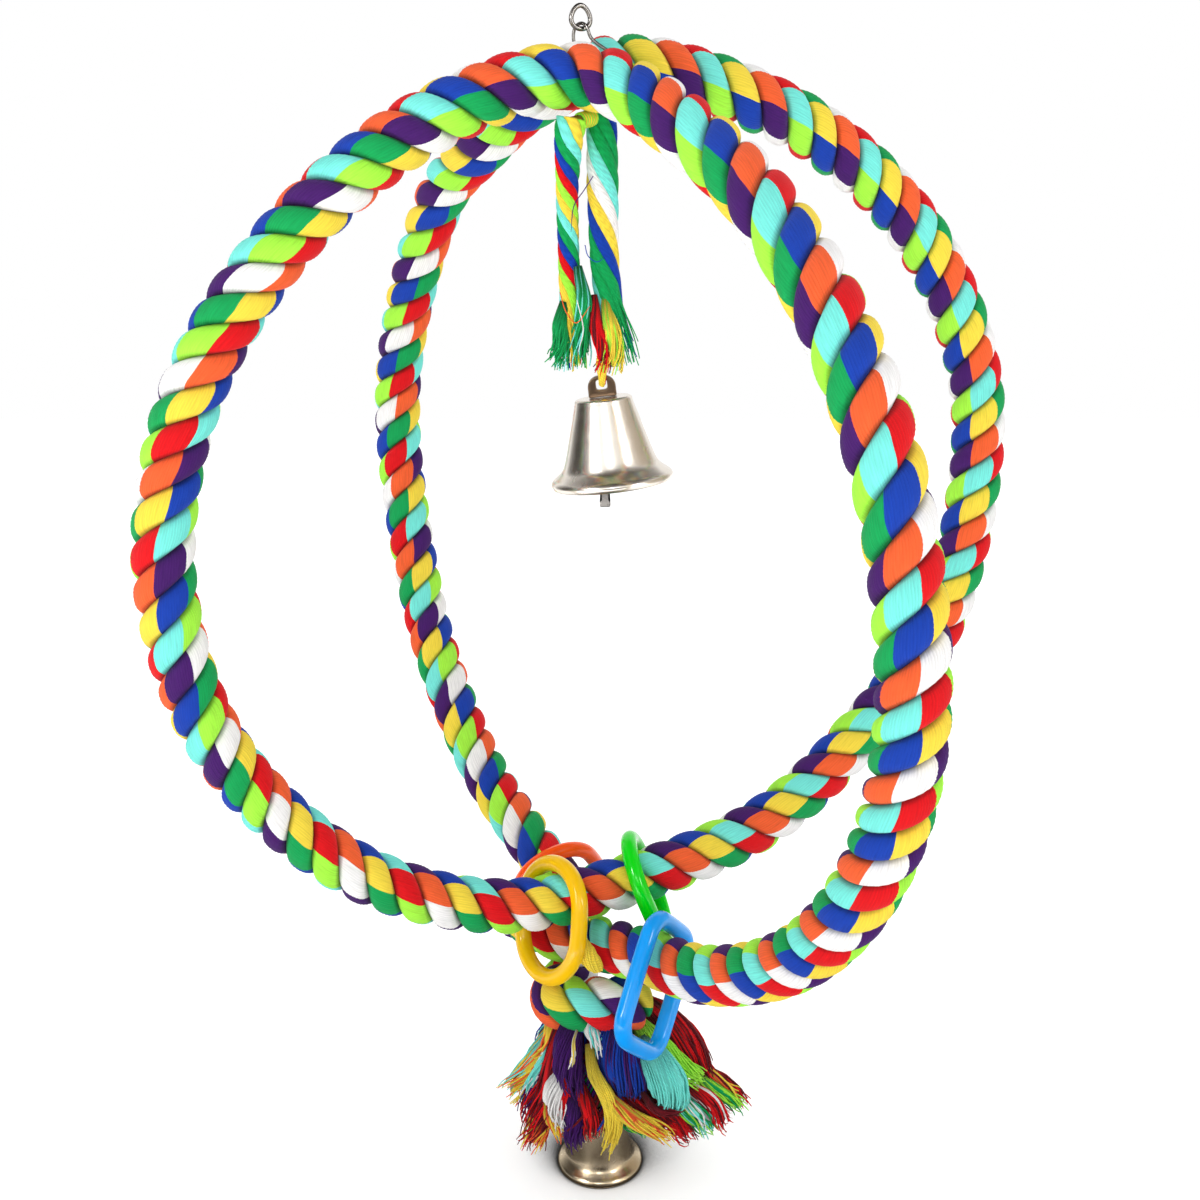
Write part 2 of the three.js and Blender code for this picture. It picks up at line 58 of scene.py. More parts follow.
KNOT_ROUTE = [
    (22, -15, -231.5), (8, -22, -228.5), (-6, -22, -229), (-19, -16, -231.5), (-22, -2, -234.5),
    (-15, 14, -235), (-11, 29, -225),
]
ROPE_ROUTE = [
    (-14, 40, -210), (-32, 60, -190), (-64, 106, -163), (-88, 140, -123), (-104, 163, -79), (-118, 182, 17),
    (-113, 175, 72), (-84, 133, 150), (-58.7, 92.2, 172.7), (-29.2, 48.5, 191.9), (9, 11.5, 200), (50, 16, 193),
    (98.9, 34, 173.8), (144.6, 51.9, 137.7), (176, 63.9, 88.7), (189, 69, 36), (174.7, 62.9, -59.3),
    (133.2, 46.7, -115), (82.6, 27.7, -155.9), (0, -1, -178), (-48, -17, -179), (-101.8, -32.4, -158.4),
    (-141.6, -42.8, -123.1), (-170.5, -50.3, -75), (-181.8, -55, -15), (-177.1, -53.5, 32.7), (-158.9, -49.1, 82.6),
    (-118.3, -37.2, 137.3), (-64.3, -23.4, 177.6), (-8.1, -12.1, 193.8), (40.4, -57.2, 163.3), (71.5, -113.1, 119.7),
    (90.7, -148.1, 71.7), (101.7, -163.5, 21.4), (105, -171, -34), (98.2, -160.9, -87.6), (79.7, -124.9, -142.6),
    (48, -69, -185), (19, -25, -200), (-2, -3, -206.5), (-24, 11, -208.5), (-46, 27, -204),
]
KNOT_STRAND_ROUTE = [(-12, -16, -191), (-9.5, -24, -195), (-5.5, -29, -199.5), (-1.8, -29.5, -204), (-0.2, -26, -207)]
LEFT_TASSEL_ROUTE = [
    (-11.8, -13.2, 176.8), (-12.8, -13.2, 171), (-13.5, -8, 160), (-14, -2.5, 148), (-13.5, 0, 120), (-13, 0, 100),
    (-13, 0, 73)]
RIGHT_TASSEL_ROUTE = [
    (0.5, -1, 181), (0.8, -1, 170), (1.2, 0, 145), (2.4, 0, 115), (5.6, 0, 95), (11, 0, 74)]
# Tufts that come loose at the ends of the upper tassels: dyes, yarns, girths and places.
TASSEL_ENDS = [
    ("red maroon red", 40, (3, 6, 7, 6), (-2.6, -4, 106), (-1.4, -6, 94), (0.2, -6, 84), (1.6, -5, 71)),
    ("yellow lime yellow", 44, (3, 7, 9, 9), (2, -4, 105), (4.4, -6, 93), (5.6, -6, 83), (7, -5, 70)),
    ("green", 44, (4, 7, 8, 9), (-15.5, -3, 103), (-17, -4, 94), (-18, -4, 84), (-19.4, -3, 72)),
    ("green teal green", 44, (4, 7, 8, 9), (-9.6, -4, 118), (-7.4, -5, 104), (-7.6, -5, 88), (-8.4, -4, 69)),
]
# Loose threads beside the upper tassels.
TASSEL_HAIRS = [
    ("purple", (-2.9, -9, 154.8), (-6.7, -9, 149.2), (-11, -9, 142.8), (-12.3, -9, 132.2)),
    ("blue", (-6.4, -9, 126.9), (-5.1, -9, 122.4), (-1.3, -9, 119.9), (1.7, -9, 121.5)),
    ("orange", (-17.2, -9, 107.4), (-14.6, -9, 99), (-10.4, -9, 94.4), (-4.3, -9, 101.5)),
    ("white", (-9.9, -9, 104.1), (-7.3, -9, 91.4), (-9.5, -9, 82)),
]
# The bar that the two upper tassels hang from: its ends at the middles of the two arches above it.
BAR_FRONT = np.array((-8.1, -12.1, 176.4))
BAR_REAR = np.array((9.0, 11.5, 182.6))
BAR_RADIUS = 2.5
# The top of the wire loop, where the pear link hangs in it.
LOOP_APEX = np.array((-8.0, 0.0, 215.6))

# Strands in the order in which they pass a line along the rope, backwards, with the dyes of each.
STRAND_DYES = {
    "b": ("yellow", "blue", "green"),
    "a": ("red", "teal", "lime"),
    "c": ("white", "orange", "purple"),
}
# Along the rope: millimetres, turns of the lay, then the dye sector of strands b, a and c that faces the front.
LAY_TABLE = np.array([
    (0, -0.76, 0.8, 2, 0.3), (60, 0.8, 0.8, 1.9, 0.3), (140, 2.08, -0.4, 0.4, -1.5), (220, 3.77, -1.2, 0.2, -1.9),
    (300, 5.53, -1.9, -0.6, -2.9), (380, 7.36, -2.6, -1.5, -3.8), (460, 9.17, -3.3, -2.2, -4.6),
    (540, 10.94, -3.8, -2.6, -5.3), (620, 12.39, -4.5, -3.2, -5.6), (700, 13.99, -4.6, -3.2, -6),
    (780.5, 16.1, -4.5, -3.5, -6.4), (860.5, 17.99, -4.5, -3.5, -6.3), (940.5, 19.92, -4.7, -3.6, -6.5),
    (1020, 21.77, -4.8, -3.8, -6.7), (1100.5, 23.6, -4.9, -4, -6.8), (1180.5, 25.24, -5.1, -4, -6.8),
    (1261, 26.98, -5.1, -4.3, -6.9), (1341.5, 28.75, -5, -4.4, -7), (1421, 30.64, -5.2, -5.1, -7.3),
    (1502, 32.45, -5.3, -5.4, -7.9), (1543, 33.5, -5.8, -5.9, -8.3), (1583.5, 34.5, -6.8, -6.5, -8.7),
    (1663.5, 36.32, -7.6, -7.5, -9.5), (1743.5, 38.2, -8.5, -8.7, -10.7), (1823, 40.03, -8.8, -9.3, -11.8),
    (1902.5, 41.95, -9.6, -9.7, -12.4), (1941, 42.77, -9.6, -9.7, -12.3), (1980.5, 43.62, -9.5, -9.6, -12.4),
    (2020.5, 44.31, -9.5, -9.8, -12.4), (2060, 44.94, -9.6, -10, -12.7), (2100, 45.7, -9.7, -10.2, -12.8),
    (2140, 46.56, -9.7, -10.2, -13), (2180, 47.38, -9.8, -10.1, -13), (2220, 48.35, -10, -10.2, -13.3),
    (2260, 49.48, -10.3, -10.4, -13.7), (2299.5, 50.61, -10.3, -10.6, -13.7), (2339.5, 51.61, -10.1, -10.5, -13.7),
    (2379.5, 52.66, -9.8, -10.2, -13.5), (2419.5, 53.62, -9.5, -10.2, -13.3), (2459.5, 54.54, -9.4, -10.2, -13.2),
    (2499.5, 55.5, -10.2, -10.3, -13.1), (2587, 57.5, -10.6, -10.8, -13.1),
])

# Lower tassel: for each lock its tufts, with their dyes, yarns, girths down the tuft and places in ball millimetres.
TUFTS = {
    "left_yellow": [
        ("yellow yellow orange", 36, (7, 9, 8), (-21.7, -14, -238.3), (-24.1, -17, -246.4), (-26.1, -19, -256.3),
         (-29.7, -19, -264.2)),
        ("teal teal white", 22, (4, 5, 6), (-21.6, -18, -248), (-27.5, -22, -257.7), (-33, -23, -270.5),
         (-38.2, -22, -284.8)),
        ("yellow yellow teal orange", 67, (8, 13, 13, 13), (-21.8, -12, -247.4), (-29.3, -15, -260.1),
         (-38.8, -17, -274.7), (-49.1, -17, -288.5)),
    ],
    "left_red": [
        ("maroon red maroon", 62, (8, 12, 13, 11), (-18.1, -20, -241.2), (-22.5, -25, -257.9),
         (-26.5, -28, -278.2), (-33.1, -30, -303)),
        ("white", 50, (5, 12, 13, 5), (-18, -27, -256.5), (-22, -30, -271.2), (-22.5, -31, -281.7),
         (-17.7, -30, -293.8)),
        ("red", 14, (3, 4, 4), (-18.4, -29, -244.1), (-16.5, -33, -263.5), (-20, -33, -288.2)),
        ("orange yellow red maroon", 62, (8, 12, 12), (-23.6, -24, -273.2), (-28.1, -27, -289.2),
         (-35.2, -28, -306.8)),
        ("maroon purple red", 62, (9, 14, 14, 10), (-19.9, -12, -249.7), (-26.8, -18, -266),
         (-31.8, -21, -283.3), (-37, -22, -301)),
        ("yellow orange", 17, (3, 5, 4), (-26.3, -32, -274.2), (-24.5, -33, -289.3), (-14.7, -32, -298)),
    ],
    "front_purple": [
        ("purple", 90, (10, 15, 15, 12), (-12.6, -22, -234.4), (-15, -28, -245.9), (-14.5, -31, -260.4),
         (-12.7, -31, -278.3)),
        ("purple", 56, (9, 11, 10, 6), (-13.7, -28, -270.4), (-14.2, -31, -280.6), (-12.3, -32, -293.5),
         (-9.4, -32, -306)),
        ("red red maroon", 48, (5, 8, 9, 7), (-9.7, -30, -266.7), (-6.8, -33, -278), (-3.4, -34, -287.4),
         (-1, -34, -298.2)),
        ("yellow white", 4, (1.5, 2, 2), (-11, -36, -234.1), (-13.3, -39, -242.9), (-11.5, -39, -256)),
    ],
    "front_yellow": [
        ("white white teal", 36, (6, 8, 7, 5), (-4.8, -25, -231.4), (-4.3, -30, -238), (-1.9, -33, -243.7),
         (1.9, -34, -248.5)),
        ("yellow", 48, (4, 7, 8, 7, 6), (-5.3, -34, -243), (-2.9, -39, -254.9), (2.9, -40, -268.5),
         (5.8, -38, -285.6), (3.4, -36, -306.4)),
        ("yellow yellow orange", 48, (4, 8, 9, 8), (0, -40, -263), (11.6, -39, -277), (25.2, -38, -286.7),
         (40, -37, -298.2)),
    ],
    "front_blue": [
        # The blue lock's purple yarns darken it as painted shade from the knot above.
        ("blue blue purple", 118, (12, 20, 22, 19, 8), (5.3, -22, -233.3), (7.2, -29, -244.1), (10.1, -32, -255.3),
         (14.6, -29, -267.4), (19.8, -22, -278)),
        ("maroon maroon red", 62, (8, 12, 12, 8), (5.9, -26, -269.5), (16.7, -29, -278.7), (30.4, -30, -285.8),
         (44.2, -30, -290.4)),
        ("green green lime", 56, (7, 11, 12, 8), (5.9, -27, -276), (11.5, -29, -283.5), (19, -29, -291),
         (26.5, -29, -297)),
    ],
    "right_teal": [
        ("teal", 101, (8, 16, 20, 17, 7), (19.4, -26, -246.1), (26.5, -34, -251.8), (32.7, -37, -260.7),
         (34, -34, -272.2), (29.5, -27, -282.4)),
        ("red red maroon", 62, (7, 11, 11, 9), (21.7, -24, -278), (30.5, -26, -286), (40.4, -27, -293.5),
         (49.4, -27, -301)),
        ("green lime teal", 56, (6, 9, 10, 9), (31.4, -26, -275.5), (41.3, -27, -283.5), (51.3, -27, -292),
         (59, -26, -300)),
        ("maroon", 14, (3, 5, 4), (20.2, -38, -266.6), (28.8, -41, -275.5), (43.3, -40, -275.1)),
    ],
    "right_lime": [
        ("lime", 78, (7, 12, 14, 11, 7), (14.7, -16, -238.2), (22, -22, -245.4), (33.1, -27, -254.3),
         (44, -27, -264.3), (53.1, -25, -273.6)),
        ("lime lime green", 36, (5, 7, 7), (43.3, -22, -265.5), (57.3, -23, -276.1), (72.6, -22, -289.4)),
        ("red white red maroon", 56, (6, 9, 11), (40.2, -26, -269.5), (53, -28, -279.4), (67.2, -27, -292.6)),
        ("teal green white", 34, (5, 7, 8), (37.2, -29, -273), (47, -31, -281.7), (56.1, -30, -292.7)),
    ],
    "right_red": [
        ("maroon maroon red", 112, (12, 19, 20, 15, 9), (17, -4, -237.9), (29.8, -10, -245.4), (40.6, -15, -255.6),
         (50.7, -17, -267.8), (60.8, -17, -277)),
        ("maroon maroon red", 48, (6, 8, 9), (45, -12, -265.6), (59.1, -14, -276.8), (73.5, -14, -291.8)),
        ("yellow orange maroon", 17, (3, 5, 6), (46.5, -18, -262.6), (59.4, -20, -272.6), (71.8, -19, -284.7)),
    ],
}
# Three of the rear locks are fans of three tufts: bearing in degrees, reach and level of the tip in millimetres, dyes
# of the middle tuft and of the two beside it.
FANNED_LOCKS = {
    "rear_green": (45, 52, -300, "green green lime", "teal white green"),
    "rear_orange": (78, 45, -304, "orange orange red", "yellow orange"),
    "rear_white": (112, 43, -305, "white white teal", "red white"),
}
LAST_TUFTS = {
    "rear_purple": [
        ("purple", 98, (9, 15, 18, 13), (-8, 0, -242), (-12, 4, -256), (-22, 12, -277), (-34, 18, -303)),
        ("blue purple teal", 48, (5, 9, 11, 10), (-9, -3, -246), (-14, 0, -259), (-25, 4, -277), (-36, 7, -298)),
        ("blue purple teal", 42, (5, 9, 10, 9), (-9, 1.4, -242), (-14.6, 7.1, -254), (-24.9, 17.8, -267.3),
         (-32.6, 25.8, -289)),
    ],
}
TASSEL_AXIS = np.array((0.0, -8.0, 0.0))
TUFT_ROWS, TUFT_SIDES = 14, 4
# The direction that yarns and their bundles start their turn from.
YARN_SIDE = np.array((0.31, -0.95, 0.02))

# Plastic links: place on the rope, direction up, direction across, shift, outer length, corner radius.
LINKS = {
    "yellow": ((-24, -9, -179.6), (0.05, 0.38, 0.92), (0.62, -0.78, 0), 1, 62, 21),
    "orange": ((-25, 52.2, -196.7), (-0.31, -0.6, 0.74), (0.85, 0.18, 0.5), 0.4, 62, 21),
    "green": ((20.4, 6.2, -173.7), (-0.36, -0.11, 0.93), (0.03, -0.99, -0.13), -0.5, 62, 21),
    "blue": ((28.5, -41, -195.2), (0.31, 0.58, 0.76), (0.42, 0.62, -0.65), 1, 64, 10),
}
LINK_INNER_WIDTH = 34
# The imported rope's radius, and the play of a link round it.
LINK_REST = 12.7 + 0.6

# Bells: finish, place of the crown, lean in degrees, width of the mouth, height, width of the crown, offset and
# length of the tie, length of the clapper, dyes of the tie.
BELLS = {
    "upper": ("nickel_plated_steel", (1.3, 0, 61.7), -6.5, 55.2, 38.8, 25.6, 0.3, 12, 39.7,
              ("yellow", "yellow", "white", "yellow", "yellow", "red")),
    "lower": ("worn_nickel_plated_steel", (0, -8, -295.5), 0, 43.4, 33, 20, 0, 27.45, 21.3,
              ("red", "maroon", "red", "white")),
}

# Metals: tone, least and greatest roughness, and fine lines to the metre along x, y and z.
METALS = {
    # Bright nickel plate on pressed steel, with polishing lines round the bell's axis.
    "nickel_plated_steel": ("#EFE7DC", 0.2, 0.28, (20, 20, 1 / 0.0004)),
    # The same plate on the lower bell, with painted shade from its dim surroundings that gives it a darker, warmer
    # tone.
    "worn_nickel_plated_steel": ("#D2C0A2", 0.2, 0.28, (20, 20, 1 / 0.0004)),
    # Nickel plate that has tarnished brown on the bent strap, duller than the bell.
    "tarnished_nickel_strap": ("#7A6552", 0.26, 0.36, (1 / 0.0006, 60, 60)),
    # Drawn steel wire, with drawing lines along it.
    "drawn_steel_wire": ("#8A8682", 0.22, 0.34, (1 / 0.0005, 1 / 0.0005, 60)),
}

# Stage: the paper's level, the middle of the view, and each lamp's place, size in metres and watts.
FLOOR_LEVEL = -0.5505
VIEW_MIDDLE = np.array((0.008, 0.0, -0.25))
LAMPS = {"key": ((-0.55, -0.9, 0.55), 0.7, 75.0), "fill": ((0.9, -0.6, 0.1), 0.9, 36.0)}
# Cards that only mirrors see, as painted reflections of the dark and tan surroundings and of the shaded floor, and
# glowing strips as painted highlights: corner, way along, way up, tone and glow.
CARDS = {
    "card_left": ((-0.9, -0.8, -0.6), (0, 1.7, 0), (0, 0, 1.2), (0.02, 0.014, 0.01), 0),
    "card_right": ((0.9, -0.7, -0.6), (0, 1.7, 0), (0, 0, 1.2), (0.42, 0.36, 0.28), 0),
    "card_top": ((-1.1, -1.2, 0.6), (2.2, 0, 0), (0, 2.3, 0), (0.03, 0.021, 0.015), 0),
    "card_front": ((-1.2, -1.6, -0.62), (2.4, 0, 0), (0, 0, 0.5), (0.02, 0.015, 0.012), 0),
    "card_floor": ((-0.3, -0.55, -0.5495), (0.6, 0, 0), (0, 0.8, 0), (0.05, 0.033, 0.018), 0),
    "card_low": ((-0.45, -0.8, -0.545), (0.9, 0, 0), (0, 0, 0.5), (0.03, 0.021, 0.015), 0),
    "strip_front": ((-0.22, -1.2, 0.1), (0.4, 0, 0), (0, 0.1, 0.5), (1, 1, 1), 1.8),
    "strip_left": ((-0.95, -0.75, 0.05), (0.22, -0.2, 0), (0, 0, 0.7), (1, 1, 1), 6.0),
    "strip_right": ((0.75, -0.95, 0.05), (0.2, 0.2, 0), (0, 0, 0.6), (1, 1, 1), 4.0),
}


def linear(hex_colour):
    """Linear RGB of an sRGB hex colour: c/12.92 below 0.04045, and ((c + 0.055)/1.055)^2.4 above."""
    values = [int(hex_colour[i:i + 2], 16) / 255 for i in (1, 3, 5)]
    return tuple(c / 12.92 if c <= 0.04045 else ((c + 0.055) / 1.055) ** 2.4 for c in values)


def colour_prop(name, description, hex_colour):
    """A colour property whose default is a hex colour."""
    return bpy.props.FloatVectorProperty(
        name=name, description=description, subtype="COLOR", size=3, min=0, max=1, default=linear(hex_colour))


class SwingDyes(bpy.types.PropertyGroup):
    """Dyes of the cotton and colours of the plastic."""
    red: colour_prop("Red", "Red cotton", "#DE000E")
    orange: colour_prop("Orange", "Orange cotton", "#F4612E")
    yellow: colour_prop("Yellow", "Yellow cotton", "#F7DA44")
    lime: colour_prop("Lime", "Lime cotton", "#A6F443")
    green: colour_prop("Green", "Green cotton", "#00A052")
    teal: colour_prop("Teal", "Teal cotton", "#77E8DC")
    blue: colour_prop("Blue", "Blue cotton", "#083CAA")
    maroon: colour_prop("Maroon", "Dark red cotton", "#6E0818")
    purple: colour_prop("Purple", "Purple cotton", "#420D65")
    white: colour_prop("White", "Undyed cotton", "#F5F3F2")
    yellow_plastic: colour_prop("Yellow link", "Yellow plastic", "#F8C200")
    orange_plastic: colour_prop("Orange link", "Orange plastic", "#FF5606")
    green_plastic: colour_prop("Green link", "Green plastic", "#00DA10")
    blue_plastic: colour_prop("Blue link", "Blue plastic", "#069CF6")


def length_prop(name, description, default):
    """A length property in metres."""
    return bpy.props.FloatProperty(name=name, description=description, default=default, min=0, unit="LENGTH")


class SwingSizes(bpy.types.PropertyGroup):
    """Sizes that give the swing its look."""
    rope_diameter: length_prop("Rope", "Diameter of the laid rope", 0.0264)
    rope_step: length_prop("Step", "Distance between the rope's sections", 0.0017)
    link_rod: length_prop("Link rod", "Diameter of a plastic link's rod", 0.008)
    yarn: length_prop("Yarn", "Diameter of one tassel yarn", 0.0009)
    link_wire: length_prop("Link wire", "Diameter of the pear link's wire", 0.002)
    loop_wire: length_prop("Loop wire", "Diameter of the wire loop", 0.0014)


def row(points):
    """Ball millimetres turned to the model's metres: (p + offset to the hanger's eye) / 1000."""
    return (np.asarray(points, dtype=float) + BALL_CENTRE) * MM


def unit(vectors):
    """Vectors divided by their lengths."""
    return vectors / np.linalg.norm(vectors, axis=-1, keepdims=True)


def smooth_line(points, step=None, rows=None, closed=False, detail=48):
    """Centripetal Catmull-Rom curve through points, sampled at even arc length.

    Each span is a cubic whose end slopes come from the roots of the distances between four points in a row.
    """
    p = np.asarray(points, dtype=float)
    if closed:
        p = np.concatenate([p[-1:], p, p[:2]])
    else:
        p = np.concatenate([2 * p[:1] - p[1:2], p, 2 * p[-1:] - p[-2:-1]])
    dt = np.maximum(np.linalg.norm(np.diff(p, axis=0), axis=1) ** 0.5, 1e-9)[:, None]
    x0, x1, x2, x3 = p[:-3], p[1:-2], p[2:-1], p[3:]
    d0, d1, d2 = dt[:-2], dt[1:-1], dt[2:]
    t1 = ((x1 - x0) / d0 - (x2 - x0) / (d0 + d1) + (x2 - x1) / d1) * d1
    t2 = ((x2 - x1) / d1 - (x3 - x1) / (d1 + d2) + (x3 - x2) / d2) * d1
    t = np.linspace(0, 1, detail, endpoint=False)[None, :, None]
    a, b = (-3 * x1 + 3 * x2 - 2 * t1 - t2)[:, None], (2 * x1 - 2 * x2 + t1 + t2)[:, None]
    dense = (x1[:, None] + t1[:, None] * t + a * t ** 2 + b * t ** 3).reshape(-1, 3)
    dense = np.concatenate([dense, x2[-1:]])
    reach = np.concatenate([[0], np.cumsum(np.linalg.norm(np.diff(dense, axis=0), axis=1))])
    count = rows or int(round(reach[-1] / step)) + 1
    stops = np.linspace(0, reach[-1], count + 1)[:-1] if closed else np.linspace(0, reach[-1], count)
    return np.stack([np.interp(stops, reach, dense[:, i]) for i in range(3)], axis=1)


def run_length(line):
    """Distance along a line at each of its points."""
    return np.concatenate([[0], np.cumsum(np.linalg.norm(np.diff(line, axis=0), axis=1))])


def tangents(lines, closed=False):
    """Unit directions along lines, from the points before and after."""
    if closed:
        return unit(np.roll(lines, -1, axis=-2) - np.roll(lines, 1, axis=-2))
    return unit(np.gradient(lines, axis=-2))


def sweep(lines, sections, reference, closed=False):
    """Rings of a section carried along paths: p + x e1 + y e2.

    e1 is the reference direction made square to the path, and e2 completes the right-handed set.
    """
    t = tangents(lines, closed)
    reference = np.broadcast_to(np.asarray(reference, dtype=float), lines.shape)
    e1 = unit(reference - (reference * t).sum(axis=-1, keepdims=True) * t)
    e2 = np.cross(t, e1)
    return lines[..., None, :] + sections[..., :1] * e1[..., None, :] + sections[..., 1:] * e2[..., None, :]


def circle(radius, sides):
    """Points (r cos a, r sin a) of a circle; the radius may be an array of any shape."""
    angle = np.arange(sides) * TURN / sides
    ring = np.stack([np.cos(angle), np.sin(angle)], axis=-1)
    return np.asarray(radius, dtype=float)[..., None, None] * ring


def skin(name, rings, closed=False, lay=None, dye=None, crease=None):
    """Object of one or more tubes whose rings are joined row to row and side to side.

    rings[tube, row, side] are points. An open tube gets a fan to the middle of each end ring. lay holds the UV of
    each row and side of an open tube, with one more side than the ring so that the last face closes the pattern.
    dye is a colour for each tube, or for each of its points, with any painted shade already in it.
    """
    rings = rings if rings.ndim == 4 else rings[None]
    tubes, rows, sides, _ = rings.shape
    spans = rows if closed else rows - 1
    r, c = np.meshgrid(np.arange(spans), np.arange(sides), indexing="ij")
    r2, c2 = (r + 1) % rows, (c + 1) % sides
    quads = np.stack([r * sides + c, r * sides + c2, r2 * sides + c2, r2 * sides + c], axis=-1).reshape(-1, 4)
    stride = rows * sides + (0 if closed else 2)
    starts = np.arange(tubes)[:, None, None] * stride
    faces = (quads[None] + starts).reshape(-1, 4).tolist()
    points = rings.reshape(tubes, rows * sides, 3)
    if not closed:
        points = np.concatenate([points, rings[:, [0, -1]].mean(axis=2)], axis=1)
        side = np.arange(sides)
        following = (side + 1) % sides
        first = np.stack([np.full(sides, rows * sides), following, side], axis=-1)
        last = np.stack([np.full(sides, rows * sides + 1), side, following], axis=-1)
        last[:, 1:] += (rows - 1) * sides
        fans = np.concatenate([first, last])
        faces += (fans[None] + starts).reshape(-1, 3).tolist()
    points = points.reshape(-1, 3)
    mesh = bpy.data.meshes.new(name)
    mesh.from_pydata(points.tolist(), [], faces)
    if lay is not None:
        lay = lay if lay.ndim == 4 else lay[None]
        corners = np.stack([lay[:, r, c], lay[:, r, c + 1], lay[:, r + 1, c + 1], lay[:, r + 1, c]], axis=3)
        ends = np.stack([lay[:, 0, :-1], lay[:, -1, :-1]], axis=1)
        uv = np.concatenate([corners.reshape(-1, 2), np.repeat(ends.reshape(-1, 2), 3, axis=0)])
        mesh.uv_layers.new(name="lay").uv.foreach_set("vector", uv.astype(np.float32).ravel())
    if dye is not None:
        tone = np.ones((tubes, stride, 4), dtype=np.float32)
        dye = np.asarray(dye, dtype=np.float32)
        if dye.ndim == 4:
            dye = np.concatenate([dye.reshape(tubes, -1, 3), dye[:, [0, -1], 0]], axis=1)
        tone[..., :3] = dye.reshape(tubes, -1, 3)
        mesh.color_attributes.new("dye", "FLOAT_COLOR", "POINT").data.foreach_set("color", tone.ravel())
    # crease is how deep each point lies in a groove, for painted groove shade.
    if crease is not None:
        depth = np.zeros((tubes, stride), dtype=np.float32)
        depth[:, :rows * sides] = np.broadcast_to(crease, (tubes, rows, sides)).reshape(tubes, -1)
        mesh.attributes.new("crease", "FLOAT", "POINT").data.foreach_set("value", depth.ravel())
    mesh.shade_smooth()
    mesh.validate()
    piece = bpy.data.objects.new(name, mesh)
    bpy.context.scene.collection.objects.link(piece)
    return piece


def closed_rod(name, line, radius, sides, reference):
    """Object of a round rod along a closed line in ball millimetres."""
    rings = sweep(line, circle(np.full(len(line), radius), sides), reference, closed=True)
    return skin(name, row(rings), closed=True)


def place(piece, body, slot, material, *nodes):
    """Gives a piece its material and the body it moves with, and hides the solids it stands for. slot is not used."""
    piece.data.materials.append(material)
    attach(piece, body)
    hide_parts(*nodes)


def add(tree, kind, inputs=None, **settings):
    """Adds a node: settings are its properties, and each input is a value or another node's output."""
    made = tree.nodes.new(kind)
    for name, value in settings.items():
        setattr(made, name, value)
    for name, value in (inputs or {}).items():
        if isinstance(value, bpy.types.NodeSocket):
            tree.links.new(value, made.inputs[name])
        else:
            made.inputs[name].default_value = value
    return made


def worked(tree, operation, *values):
    """A number worked out from others."""
    return add(tree, "ShaderNodeMath", dict(enumerate(values)), operation=operation).outputs[0]


def noise(tree, vector, scale, detail):
    """Noise from 0 to 1; scale is its number of specks to the unit."""
    return add(tree, "ShaderNodeTexNoise", {"Vector": vector, "Scale": scale, "Detail": detail}).outputs["Fac"]


def stretched_noise(tree, vector, scales, detail):
    """Noise with its own scale along x, y and z."""
    mapping = add(tree, "ShaderNodeMapping", {"Vector": vector, "Scale": scales})
    return noise(tree, mapping.outputs[0], 1.0, detail)


def ranged(tree, value, low, high, to_low, to_high):
    """A number brought from one span to another, and held inside it."""
    return add(tree, "ShaderNodeMapRange", {
        "Value": value, "From Min": low, "From Max": high, "To Min": to_low, "To Max": to_high}).outputs[0]


def scaled(tree, colour, share):
    """A colour times a number."""
    return add(tree, "ShaderNodeVectorMath", {0: colour, "Scale": share}, operation="SCALE").outputs[0]


def bumped(tree, height, strength, metres):
    """A normal that follows a height."""
    return add(tree, "ShaderNodeBump", {"Height": height, "Strength": strength, "Distance": metres}).outputs[0]


def surface(tree, inputs):
    """A principled shader with these inputs as the material's surface."""
    shader = add(tree, "ShaderNodeBsdfPrincipled", inputs)
    add(tree, "ShaderNodeOutputMaterial", {"Surface": shader.outputs[0]})


def new_material(name):
    """An empty node material and its tree."""
    material = bpy.data.materials.new(name)
    material.use_nodes = True
    material.node_tree.nodes.clear()
    return material, material.node_tree


def rgba(colour):
    """A colour with full alpha."""
    return (*tuple(colour)[:3], 1.0)


